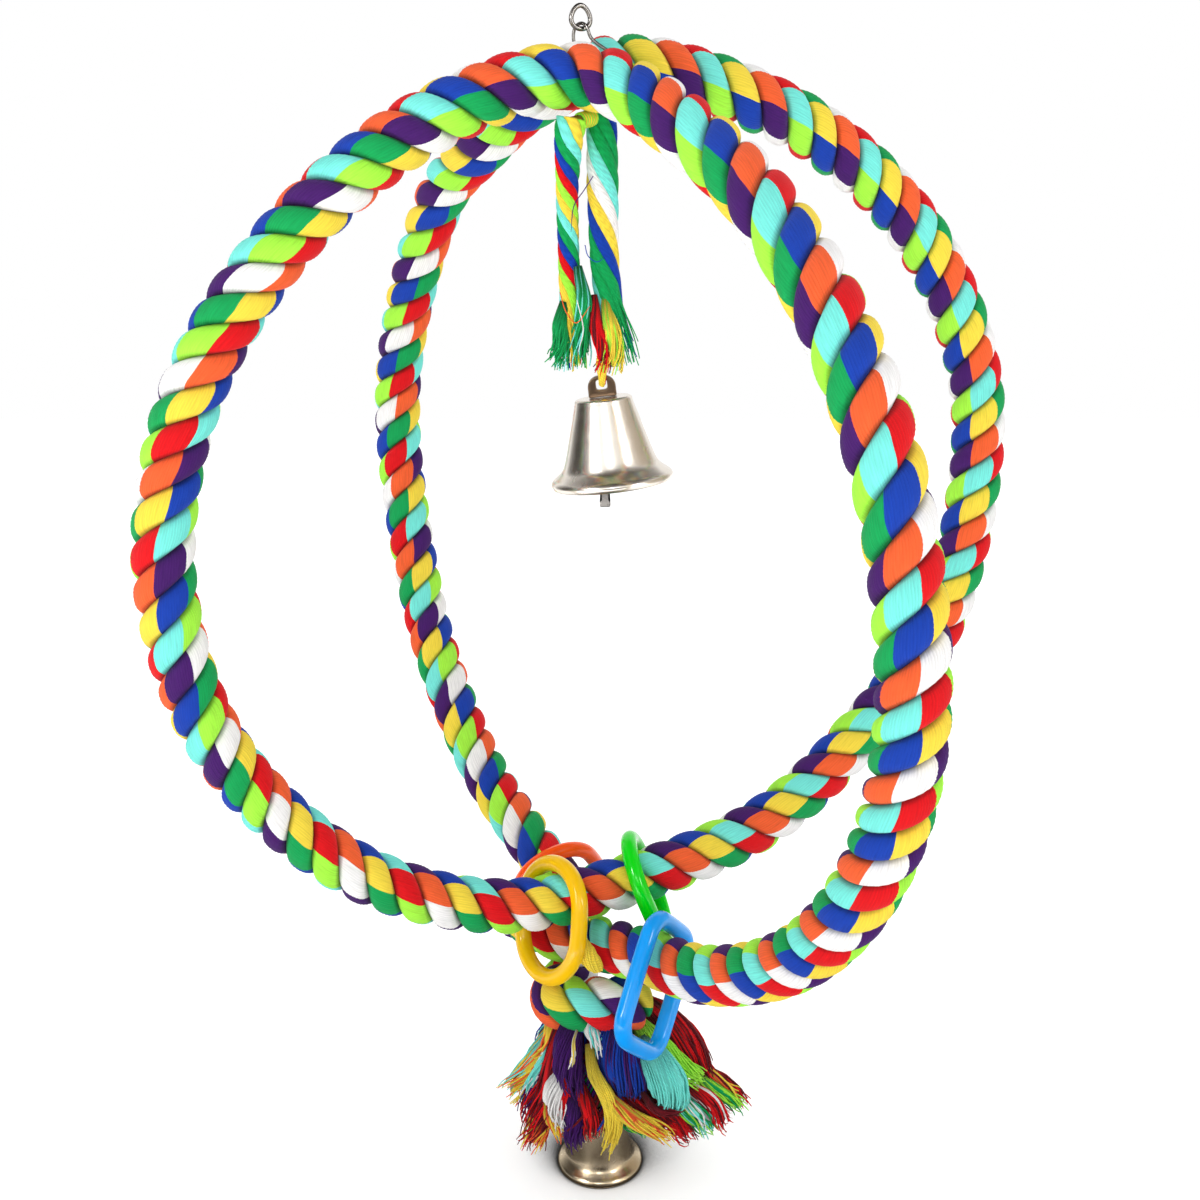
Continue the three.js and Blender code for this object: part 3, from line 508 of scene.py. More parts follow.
def laid_cotton(name, colours, rope_diameter):
    """Soft-laid dyed cotton strand: matt, with yarns that run along the rope and three dye sectors side by side.

    UV x counts the dye period round the rope and UV y is metres along it.
    """
    material, tree = new_material(name)
    lay = add(tree, "ShaderNodeUVMap", uv_map="lay").outputs["UV"]
    around, along, _ = add(tree, "ShaderNodeSeparateXYZ", {"Vector": lay}).outputs
    # The edge between two dyes wanders by about 1 mm every 15 mm.
    drift = noise(tree, add(tree, "ShaderNodeCombineXYZ", {"Y": along}).outputs[0], 1 / 0.015, 1.0)
    wander = worked(tree, "MULTIPLY_ADD", drift, 0.05, -0.025)
    sector = worked(tree, "FRACT", worked(tree, "ADD", around, wander))
    ramp = add(tree, "ShaderNodeValToRGB", {"Fac": sector})
    ramp.color_ramp.interpolation = "CONSTANT"
    stops = ramp.color_ramp.elements
    stops[1].position = 1 / 3
    stops.new(2 / 3)
    for stop, colour in zip(stops, colours):
        stop.color = rgba(colour)
    # Yarns of about 1.1 mm lie side by side round the rope, each with fibres 9 mm long.
    yarns_round = math.pi * rope_diameter / 0.0011 / 2
    fibres = stretched_noise(tree, lay, (yarns_round * 1.6, 110, 1), 3.0)
    bend = worked(tree, "MULTIPLY_ADD", fibres, 0.03, around)
    groove = worked(tree, "SINE", worked(tree, "MULTIPLY", bend, yarns_round * TURN))
    height = worked(tree, "MULTIPLY_ADD", groove, 0.1, fibres)
    # The shade follows the fibres' streaks, with a slight painted shade in the grooves between yarns.
    shade = ranged(tree, height, 0.15, 0.85, 0.78, 1.08)
    # Painted shade darkens the groove between two strands, over its last 2 mm.
    depth = add(tree, "ShaderNodeAttribute", attribute_name="crease").outputs["Fac"]
    dark = worked(tree, "MULTIPLY", shade, ranged(tree, depth, 0, 1, 1.0, 0.3))
    surface(tree, {
        "Base Color": scaled(tree, ramp.outputs["Color"], dark), "Normal": bumped(tree, height, 0.5, 0.0006),
        "Roughness": 0.82, "Sheen Weight": 0.05, "Specular IOR Level": 0.25})
    return material


def spun_cotton():
    """Spun cotton tassel yarn: matt and fuzzy, with the twist of its plies; the dye, with painted root shade on the
    tufts, is the piece's own attribute.
    """
    name = "spun_cotton_yarn"
    if name in bpy.data.materials:
        return bpy.data.materials[name]
    material, tree = new_material(name)
    dye_and_painted_shade = add(tree, "ShaderNodeAttribute", attribute_name="dye").outputs["Color"]
    lay = add(tree, "ShaderNodeUVMap", uv_map="lay").outputs["UV"]
    around, along, _ = add(tree, "ShaderNodeSeparateXYZ", {"Vector": lay}).outputs
    # Plies go round the yarn once in 5 mm, and fibres show as streaks about 6 mm long.
    streaks = stretched_noise(tree, lay, (4, 160, 1), 2.0)
    spiral = worked(tree, "MULTIPLY_ADD", along, 1 / 0.005, around)
    plies = worked(tree, "SINE", worked(tree, "MULTIPLY", spiral, 2 * TURN))
    height = worked(tree, "MULTIPLY_ADD", plies, 0.2, streaks)
    # The base colour follows the fibres' streaks, with a slight painted shade in the grooves between plies.
    surface(tree, {
        "Base Color": scaled(tree, dye_and_painted_shade, ranged(tree, height, 0.2, 0.8, 0.75, 1.1)),
        "Normal": bumped(tree, height, 0.4, 0.0003), "Roughness": 0.85, "Sheen Weight": 0.05,
        "Specular IOR Level": 0.2})
    return material


def moulded_plastic(name, colour):
    """Injection-moulded polypropylene: glossy, a little waxy, with a faint flow mottle and light handling marks."""
    material, tree = new_material(name)
    spot = add(tree, "ShaderNodeTexCoord").outputs["Object"]
    # Flow mottle about 8 mm wide, and handling marks about 1.5 mm.
    mottle, marks = noise(tree, spot, 1 / 0.008, 2.0), noise(tree, spot, 1 / 0.0015, 3.0)
    surface(tree, {
        "Base Color": scaled(tree, tuple(colour), ranged(tree, mottle, 0.3, 0.7, 0.97, 1.03)),
        "Roughness": ranged(tree, marks, 0.35, 0.75, 0.13, 0.2), "Normal": bumped(tree, mottle, 0.03, 0.0002),
        "IOR": 1.49, "Specular IOR Level": 0.3, "Coat Weight": 0.22, "Coat Roughness": 0.06})
    return material


def metal(name):
    """One of the metals: mirror-like, with soft handling haze and fine lines."""
    if name in bpy.data.materials:
        return bpy.data.materials[name]
    hex_colour, low, high, lines_to_metre = METALS[name]
    material, tree = new_material(name)
    spot = add(tree, "ShaderNodeTexCoord").outputs["Object"]
    # Haze in patches about 6 mm wide.
    haze = noise(tree, spot, 1 / 0.006, 3.0)
    lines = stretched_noise(tree, spot, lines_to_metre, 2.0)
    surface(tree, {
        "Base Color": rgba(linear(hex_colour)), "Metallic": 1.0, "Roughness": ranged(tree, haze, 0.3, 0.7, low, high),
        "Normal": bumped(tree, lines, 0.02, 0.0002)})
    return material


def carried(route, share):
    """Places, and two directions square to the route, at shares of a smooth route in ball millimetres."""
    line = smooth_line(route, rows=120)
    t = tangents(line)
    e1 = unit(YARN_SIDE - (t @ YARN_SIDE)[:, None] * t)
    at = np.linspace(0, 1, len(line))
    return (np.stack([np.interp(share, at, v[:, k]) for k in range(3)], axis=-1) for v in (line, e1, np.cross(t, e1)))


def swayed(route, seed):
    """The first 0.92 of a route with slow sine waves added to it, which grow to about 1.5 mm at its end."""
    line = smooth_line(route, rows=97)[:91:11]
    share = np.linspace(0, 1, 9)[:, None]
    return line + 1.5 * share * np.sin(7 * share + np.random.default_rng(seed).uniform(0, TURN, 3))


def straying(share, stray, rng):
    """Two slow sine waves for each yarn, which grow with the square of the share."""
    waves = rng.uniform(0, TURN, (4, len(share), 1))
    x = np.sin(5 * share + waves[0]) + 0.5 * np.sin(13 * share + waves[1])
    y = np.sin(6 * share + waves[2]) + 0.5 * np.sin(11 * share + waves[3])
    return stray * share ** 2 * x, stray * share ** 2 * y


def bundle(route, count, girths, yarn, turns, seed, ragged=0.08, stray=0.0, rows=48, fill=0.5, frayed=0.0):
    """Lines of the yarns of a bundle, in ball millimetres.

    Yarn i stands at the golden-angle place (((i + 1/2) / n) ^ fill, 137.5 deg * i) of a disc as wide as the girth
    at each share of the route. The disc turns down the route, each yarn starts and ends at its own share of the
    length, and its path strays by slow sine waves.
    """
    rng = np.random.default_rng(seed)
    i = np.arange(count)
    ends, starts = 1 - ragged * rng.random((count, 1)), frayed * rng.random((count, 1))
    share = starts + np.linspace(0, 1, rows) * (ends - starts)
    centre, first, second = carried(route, share)
    girth = np.interp(share, np.linspace(0, 1, len(girths)), girths)
    radius = ((i + 0.5) / count)[:, None] ** fill * (girth / 2 - yarn / 2)
    angle = GOLDEN_ANGLE * i[:, None] + TURN * turns * share
    x, y = straying(share, stray, rng)
    x = x + radius * np.cos(angle)
    y = y + radius * np.sin(angle)
    return centre + x[..., None] * first + y[..., None] * second


def yarn_piece(name, lines, yarn, dyes, sides=6):
    """Object of round yarns along lines in ball millimetres, each with its dye, thinner at the frayed end."""
    count, rows, _ = lines.shape
    taper = np.interp(np.linspace(0, 1, rows), [0, 0.75, 1], [1, 1, 0.5])
    rings = sweep(lines, circle(yarn / 2 * taper, sides), YARN_SIDE)
    u = np.broadcast_to(np.linspace(0, 1, sides + 1), (count, rows, sides + 1))
    v = np.broadcast_to(np.linspace(0, 0.08, rows)[None, :, None], u.shape) + np.arange(count)[:, None, None] * 0.37
    return skin(name, row(rings), lay=np.stack([u, v], axis=-1), dye=dyes)


def dye(name):
    """Linear colour of a dye by its name."""
    return np.array(getattr(bpy.context.scene.swing_dyes, name))


def painted_root_shade(share):
    """Painted shade at a tuft's gathered root: 0.25 there, rising to 1 at 0.45 of its length."""
    return 0.25 + 0.75 * np.clip(share / 0.45, 0, 1)


def combed_body(route, girths, names, seed):
    """Rings, UV and dyes of a tuft's combed middle: p + r (cos a e1 + sin a e2) along nine tenths of its route.

    r is 0.43 of the girth with three and five slow lobes that turn down the tuft, and closes to a point. The dye
    changes from sector to sector, and painted shade darkens it at the root and in the furrows between the lobes.
    """
    sides = 28
    phase = np.random.default_rng(seed).uniform(0, TURN, 2)
    share = np.linspace(0, 0.9, 28)[:, None]
    a = np.arange(sides + 1) * TURN / sides
    centre, e1, e2 = carried(route, share[:, 0])
    lobes = 0.6 * np.sin(3 * a + 2.5 * share + phase[0]) + 0.4 * np.sin(5 * a - 4 * share + phase[1])
    girth = np.interp(share, np.linspace(0, 1, len(girths)), girths)
    close = np.sqrt(np.clip(np.minimum(share / 0.06 + 0.01, (0.9 - share) / 0.4 + 0.002), 0, 1))
    r = 0.43 * girth * (1 + 0.17 * lobes) * close
    rings = centre[:, None] + r[..., None] * (
        np.cos(a)[None, :, None] * e1[:, None] + np.sin(a)[None, :, None] * e2[:, None])
    yarns_round = math.pi * max(girths) / 1.8
    metres = share * run_length(smooth_line(route, rows=40))[-1] * MM + seed
    lay = np.stack([np.broadcast_to(v, r.shape) for v in (a / TURN * yarns_round, metres)], axis=-1)
    sector = np.arange(sides) * 3 * len(names) // sides % len(names)
    # Painted shade: darker at the root and in the furrows between the lobes.
    shade = painted_root_shade(share) * (0.7 + 0.3 * lobes)
    dyes = np.array([dye(name) for name in names])[sector] * shade[:, :-1, None]
    return rings[:, :-1], lay, dyes


def tuft_pieces(name, tufts, yarn, seed, slot, node):
    """The combed middles of some tufts, and the yarns that lie on them and fray at their ends."""
    middles, lines, dyes = [], [], []
    for k, (colours, count, girths, *route) in enumerate(tufts):
        names = colours.split()
        route = swayed(route, seed + k)
        middles.append(combed_body(route, girths, names, seed + k))
        lines.append(bundle(route, count, girths, yarn, 0.3, seed + k, ragged=0.22, stray=1.7, rows=TUFT_ROWS,
                            fill=0.2))
        dyes += [dye(names[i % len(names)]) for i in range(count)]
    # Painted shade darkens each yarn's dye towards the gathered root.
    shade = np.broadcast_to(painted_root_shade(np.linspace(0, 1, TUFT_ROWS))[:, None, None], (TUFT_ROWS, TUFT_SIDES, 1))
    dyes = np.array(dyes)[:, None, None] * shade
    rings, lay, tones = (np.stack(part) for part in zip(*middles))
    combed = skin(name + "_combed", row(rings), lay=lay, dye=tones)
    yarns = yarn_piece(name + "_yarn", np.concatenate(lines), yarn, dyes, sides=TUFT_SIDES)
    for piece in (combed, yarns):
        place(piece, "swing", slot, spun_cotton(), node)


class SWING_OT_stage(bpy.types.Operator):
    """Sets the camera, the soft lights, the white surroundings and the floor"""
    bl_idname = "swing.stage"
    bl_label = "Stage"

    def execute(self, context):
        scene = context.scene
        scene.view_settings.view_transform = "Standard"
        camera = bpy.data.objects.new("camera", bpy.data.cameras.new("camera"))
        camera.data.sensor_width = 36
        camera.data.lens = 39.6
        camera.data.clip_start = 0.01
        camera.location = row(FRONT_POINT)
        camera.rotation_euler = (math.radians(75), 0, 0)
        scene.collection.objects.link(camera)
        scene.camera = camera
        world = bpy.data.worlds.new("studio")
        world.use_nodes = True
        tree = world.node_tree
        tree.nodes.clear()
        light = add(tree, "ShaderNodeBackground", {"Color": (1, 1, 1, 1), "Strength": 1.0})
        add(tree, "ShaderNodeOutputWorld", {"Surface": light.outputs[0]})
        scene.world = world
        for name, (spot, size, watts) in LAMPS.items():
            lamp = bpy.data.lights.new(name, "AREA")
            lamp.shape = "SQUARE"
            lamp.size = size
            lamp.energy = watts
            holder = bpy.data.objects.new(name, lamp)
            holder.location = spot
            holder.visible_glossy = False
            direction = unit(VIEW_MIDDLE - np.array(spot))
            yaw = math.atan2(direction[0], -direction[1])
            holder.rotation_euler = (math.acos(-direction[2]), 0, yaw)
            scene.collection.objects.link(holder)
        self.sheet("floor", (-3, -3, FLOOR_LEVEL), (0, 6, 0), (6, 0, 0), 6, self.paper())
        for name, (corner, along, up, tone, glow) in CARDS.items():
            card = self.sheet(name, corner, along, up, 12, self.card_material("studio_" + name, tone, glow))
            # Only mirrors see them: painted reflections and painted highlights.
            card.visible_camera = card.visible_diffuse = card.visible_shadow = False
        return {"FINISHED"}

    def sheet(self, name, corner, along, up, cells, material):
        """A flat square-celled grid of the stage: corner + u along + v up, for u and v from 0 to 1.

        Its fade, which only the cards use, is (sin(pi u) sin(pi v)^0.5)^0.6, and so nothing at the edges.
        """
        u, v = np.meshgrid(np.linspace(0, 1, cells + 1), np.linspace(0, 1, cells + 1), indexing="ij")
        points = np.array(corner) + u[..., None] * np.array(along) + v[..., None] * np.array(up)
        fade = np.clip(np.sin(math.pi * u) * np.sqrt(np.abs(np.sin(math.pi * v))), 0, 1) ** 0.6
        a = (np.arange(cells)[:, None] * (cells + 1) + np.arange(cells)).ravel()
        faces = np.stack([a, a + 1, a + cells + 2, a + cells + 1], axis=-1)
        mesh = bpy.data.meshes.new(name)
        mesh.from_pydata(points.reshape(-1, 3).tolist(), [], faces.tolist())
        mesh.attributes.new("fade", "FLOAT", "POINT").data.foreach_set("value", fade.astype(np.float32).ravel())
        mesh.materials.append(material)
        made = bpy.data.objects.new(name, mesh)
        bpy.context.scene.collection.objects.link(made)
        return made

    def card_material(self, name, tone, glow):
        """A card that only mirrors see and that thins out to clear at its edges: its tone a painted reflection of the
        surroundings, its glow a painted highlight.
        """
        material, tree = new_material(name)
        fade = add(tree, "ShaderNodeAttribute", attribute_name="fade")
        clear = add(tree, "ShaderNodeBsdfTransparent")
        paint = add(tree, "ShaderNodeBsdfPrincipled", {
            "Base Color": rgba(tone), "Roughness": 0.9, "Emission Color": rgba(tone), "Emission Strength": glow})
        mixed = add(tree, "ShaderNodeMixShader", {0: fade.outputs["Fac"], 1: clear.outputs[0], 2: paint.outputs[0]})
        add(tree, "ShaderNodeOutputMaterial", {"Surface": mixed.outputs[0]})
        return material

    def paper(self):
        """White paper, lit where the camera and mirrors see it, with a painted shadow near the tassel and the bell.
        """
        material, tree = new_material("white_paper_sweep")
        path = add(tree, "ShaderNodeLightPath").outputs
        seen = worked(tree, "MAXIMUM", path["Is Camera Ray"], path["Is Glossy Ray"])
        shown = worked(tree, "MAXIMUM", seen, path["Is Transmission Ray"])
        # Painted shadow: paper within about 50 mm of the tassel and the bell is darkened by how much they hide of the
        # sky.
        # That sky is tilted to the front, so the painted shadow falls under and behind them.
        lit_side = add(tree, "ShaderNodeCombineXYZ", {"Y": -0.62, "Z": 0.78}).outputs[0]
        near = add(tree, "ShaderNodeAmbientOcclusion", {"Distance": 0.06, "Normal": lit_side}, samples=32)
        painted_shadow_lightness = ranged(tree, near.outputs["AO"], 0.52, 0.77, 0.02, 1.0)
        glow = worked(tree, "MULTIPLY", worked(tree, "MULTIPLY", shown, 0.34), painted_shadow_lightness)
        surface(tree, {
            "Base Color": scaled(tree, (0.95, 0.95, 0.95), painted_shadow_lightness), "Roughness": 0.9, "Specular IOR Level": 0.1,
            "Emission Color": (1, 1, 1, 1), "Emission Strength": glow})
        return material


class SWING_OT_upper_tassels(bpy.types.Operator):
    """Builds the two twisted yarn tassels that hang from the top of the ball, with their loose ends"""
    bl_idname = "swing.upper_tassels"
    bl_label = "Upper tassels"

    def execute(self, context):
        yarn = context.scene.swing_sizes.yarn / MM
        self.tassel("upper_tassel_left", LEFT_TASSEL_ROUTE, "green", 38, (13.5, 10, 9.5, 10, 16), yarn,
                    ("blue", "red", "lime", "yellow", "teal", "green"), 0.56, 11)
        self.tassel("upper_tassel_right", RIGHT_TASSEL_ROUTE, "teal", 62, (13, 14, 13, 12.5, 21), yarn,
                    ("green", "teal", "white", "yellow", "blue", "green"), 0.27, 23)
        self.binding(yarn)
        tuft_pieces("upper_tassel_ends", TASSEL_ENDS, yarn, 61, "green_yarn", "upper_tassel_right")
        threads = np.stack([smooth_line(points, rows=40) for _, *points in TASSEL_HAIRS])
        colours = [dye(hair[0]) for hair in TASSEL_HAIRS]
        loose = yarn_piece("upper_tassel_loose_threads", threads, 0.45, colours, sides=5)
        place(loose, "swing", "green_yarn", spun_cotton(), "upper_tassel_left")
        return {"FINISHED"}

    def tassel(self, name, route, slot, pitch, girths, yarn, colours, start, seed):
        """Ribbons of yarns side by side, wound round the route: p + r (cos f e1 + sin f e2).

        f = start + (j + 0.46 a) / n - s / pitch, with a from -1 to 1 across ribbon j of n. r is largest in the
        middle of a ribbon. Over the last third the yarns unwind, spread and stray.
        """
        rng = np.random.default_rng(seed)
        axis = smooth_line(route, rows=91)
        length = run_length(axis)[-1]
        across = np.tile(np.linspace(-1, 1, 13), len(colours))
        ribbon = np.repeat(np.arange(len(colours)), 13)
        share = np.linspace(0, 1, 64)[None, :] * (1 - 0.12 * rng.random(len(across)))[:, None]
        centre, e1, e2 = carried(route, share)
        loose = np.clip((share - 0.66) / 0.34, 0, 1)
        wound = length * (np.minimum(share, 0.66) + 0.11 * loose * (1.6 - loose))
        angle = TURN * (start + (ribbon + 0.46 * across)[:, None] / len(colours) - wound / pitch)
        reach = np.interp(share, np.linspace(0, 1, len(girths)), girths) / 2 - yarn / 2
        reach = reach * (0.8 + 0.2 * np.sqrt(1 - 0.96 * across ** 2))[:, None]
        reach = reach * (1 - loose * rng.uniform(0, 0.6, len(across))[:, None])
        x, y = straying(share, 1.3, rng)
        x = x * loose + reach * np.cos(angle)
        y = y * loose + reach * np.sin(angle)
        lines = centre + x[..., None] * e1 + y[..., None] * e2
        piece = yarn_piece(name + "_yarn", lines, yarn, [dye(colours[j]) for j in ribbon], sides=5)
        place(piece, "swing", slot + "_yarn", spun_cotton(), name)

    def binding(self, yarn):
        """Two yarns wound along the bar between the tassels: p + r (cos f e1 + sin f e2), f even along the bar."""
        along = unit(BAR_REAR - BAR_FRONT)
        side = unit(np.cross(along, (0, 0, 1)))
        depth = np.linspace(-1, 17, 160)
        angle = TURN * (depth / (2 * yarn) + np.array((0, 0.5))[:, None])
        lines = BAR_FRONT + along * depth[:, None] + (BAR_RADIUS + yarn / 2) * (
            np.cos(angle)[..., None] * side + np.sin(angle)[..., None] * np.cross(side, along))
        piece = yarn_piece("upper_tassel_binding_yarn", lines, yarn * 1.2, [dye("yellow"), dye("lime")], sides=5)
        place(piece, "swing", "yellow_yarn", spun_cotton(), "upper_tassel_left")


class SWING_OT_rope(bpy.types.Operator):
    """Builds the three laid strands of the rope along the whole route, with the knot's turn.

    A strand's section is the oval (r/2 + r/2 cos a, 0.64 r sin a), measured outward and sideways from the middle of a
    rope of radius r. It turns about the route by the lay's turns, a third of a turn from one strand to the next, and
    closes to a round end over the last 5 mm.
    """
    bl_idname = "swing.rope"
    bl_label = "Rope"

    def execute(self, context):
        sizes = context.scene.swing_sizes
        route = np.array(KNOT_ROUTE + ROPE_ROUTE, dtype=float)
        line = smooth_line(route, step=sizes.rope_step / MM)
        s = run_length(line)
        t = tangents(line)
        out = unit(line - (line * t).sum(axis=1, keepdims=True) * t)
        side = np.cross(t, out)
        front = unit(FRONT_POINT - line)
        facing = np.unwrap(np.arctan2((front * side).sum(axis=1), (front * out).sum(axis=1)))
        turns = np.interp(s, LAY_TABLE[:, 0], LAY_TABLE[:, 1])
        ends = np.minimum(s, s[-1] - s)
        close = np.sqrt(np.clip(1 - (1 - np.minimum(ends / 5, 1)) ** 2, 0.02, 1))
        theta = np.linspace(-math.pi, math.pi, 29)
        radius = sizes.rope_diameter / MM / 2
        for k, (strand, colours) in enumerate(STRAND_DYES.items()):
            radial = 0.5 * radius + 0.5 * radius * np.cos(theta)
            across = 0.64 * radius * np.sin(theta)
            reach = np.hypot(radial, across)
            lean = np.unwrap(np.arctan2(across, radial))
            angle = (TURN * (turns + k / 3))[:, None] + lean[None, :]
            rings = line[:, None] + (close[:, None] * reach[None, :])[..., None] * (
                np.cos(angle)[..., None] * out[:, None] + np.sin(angle)[..., None] * side[:, None])
            middle = np.interp(s, LAY_TABLE[:, 0], LAY_TABLE[:, 2 + k])
            period = 2 * (angle - facing[:, None]) / TURN + (middle[:, None] - 0.5) / 3
            lay = np.stack([period, np.broadcast_to(s[:, None] * MM, period.shape)], axis=-1)
            name = "rope_strand_" + strand
            # How deep each point lies in the groove between strands, where the cotton paints shade.
            crease = np.clip((np.abs(lean[:-1]) - 0.8) / 0.28, 0, 1)
            piece = skin(name, row(rings[:, :-1]), lay=lay, crease=crease)
            cotton = laid_cotton("laid_cotton_" + "_".join(colours), [dye(c) for c in colours], sizes.rope_diameter)
            place(piece, "swing", "rope", cotton, "main_rope", "knot_turn")
        return {"FINISHED"}


class SWING_OT_knot_strand(bpy.types.Operator):
    """Builds the loose yellow strand at the knot's front"""
    bl_idname = "swing.knot_strand"
    bl_label = "Knot strand"

    def execute(self, context):
        count, yarn = 44, 1.3
        lines = bundle(KNOT_STRAND_ROUTE, count, (5, 9, 10, 9, 4), yarn, 0.6, 5, ragged=0.03, rows=28, fill=0.35)
        piece = yarn_piece("knot_strand_yarn", lines, yarn, [dye("yellow")] * count)
        place(piece, "swing", "yellow_yarn", spun_cotton(), "knot_strand")
        return {"FINISHED"}


class SWING_OT_hanger(bpy.types.Operator):
    """Builds the pear link, the wire loop below it and the bar that the rope rests on"""
    bl_idname = "swing.hanger"
    bl_label = "Hanger"

    def execute(self, context):
        sizes = context.scene.swing_sizes
        wire, thin = sizes.link_wire / MM, sizes.loop_wire / MM
        link_play, bar_play, half_width, half_height = 0.42, 0.39, 4.2, 4.5
        # The pear: x = (1 - 0.2 sin a) cos a half widths and z = 1 + sin a half heights, turned by 24 degrees.
        seat = LOOP_APEX[2] - (wire + thin) / 2 - link_play
        a = np.linspace(0, TURN, 96, endpoint=False)
        turn = math.radians(24)
        sideways = np.array((math.cos(turn), math.sin(turn), 0))
        across = np.cos(a) * (1 - 0.2 * np.sin(a)) * half_width
        pear = np.array((LOOP_APEX[0], LOOP_APEX[1], 0)) + across[:, None] * sideways
        pear[:, 2] = seat + half_height * (1 + np.sin(a))
        normal = np.cross(sideways, (0, 0, 1))
        link = closed_rod("hanger_link_wire", pear, wire / 2, 20, normal)
        place(link, "hanger", "steel_wire", metal("drawn_steel_wire"), "hanger_link")
        middle = (BAR_FRONT + BAR_REAR) / 2
        low = middle[2] - (2 * BAR_RADIUS + thin) / 2 - bar_play
        loop = smooth_line([
            LOOP_APEX, (-5.6, -2.2, 214.2), (-3.6, -2.6, 209.5), (9.5, -4.2, 199), (9.5, -4.2, 188),
            (6.5, -2.2, low + 1.6), (middle[0], middle[1], low), (-5, 2.4, low + 1.6), (-6.6, 3.2, 188),
            (-6.6, 3.2, 199), (-11, 2.4, 209.5), (-10.4, 2.2, 214.2)], rows=180, closed=True)
        wound = closed_rod("hanger_loop_wire", loop, thin / 2, 16, (0.35, 0.94, 0))
        place(wound, "swing", "steel_wire", metal("drawn_steel_wire"), "hanger_loop")
        along = unit(BAR_REAR - BAR_FRONT)
        stops = np.array((-7, -6.9, -6.6, -6.2, 6.2, 6.6, 6.9, 7))
        stops[4:] += np.linalg.norm(BAR_REAR - BAR_FRONT)
        bar_line = BAR_FRONT + stops[:, None] * along
        radius = np.array((1.7, 2.1, 2.4, BAR_RADIUS, BAR_RADIUS, 2.4, 2.1, 1.7))
        bar = skin("toggle_bar_rod", row(sweep(bar_line, circle(radius, 28), (0, 0, 1))))
        place(bar, "swing", "steel_wire", metal("drawn_steel_wire"), "toggle_bar")
        return {"FINISHED"}


class SWING_OT_links(bpy.types.Operator):
    """Builds the four moulded links round the rope and the knot"""
    bl_idname = "swing.links"
    bl_label = "Plastic links"

    def execute(self, context):
        rod = context.scene.swing_sizes.link_rod / MM
        for colour, (spot, up, sideways, shift, length, corner) in LINKS.items():
            along = unit(np.array(up, dtype=float))
            across = np.array(sideways, dtype=float)
            across = unit(across - across.dot(along) * along)
            centre = np.array(spot) + along * (LINK_REST + rod - length / 2) + across * shift
            line = self.outline(centre, across, along, (LINK_INNER_WIDTH + rod) / 2, (length - rod) / 2, corner)
            piece = closed_rod(colour + "_link_moulding", line, rod / 2, 32, np.cross(across, along))
            plastic = moulded_plastic("moulded_polypropylene_" + colour,
                                      getattr(context.scene.swing_dyes, colour + "_plastic"))
            place(piece, colour + "_ring", colour + "_plastic", plastic, colour + "_link")
        return {"FINISHED"}

    def outline(self, centre, across, along, half_width, half_length, corner):
        """Rounded rectangle: quarter circles of the corner radius about points set in from the corners."""
        angle = (np.arange(24) + 0.5) / 24 * TURN
        quarter = np.arange(24) // 6
        u = np.array((1, -1, -1, 1))[quarter] * (half_width - corner) + np.cos(angle) * corner
        v = np.array((1, 1, -1, -1))[quarter] * (half_length - corner) + np.sin(angle) * corner
        return smooth_line(centre + u[:, None] * across + v[:, None] * along, rows=200, closed=True)


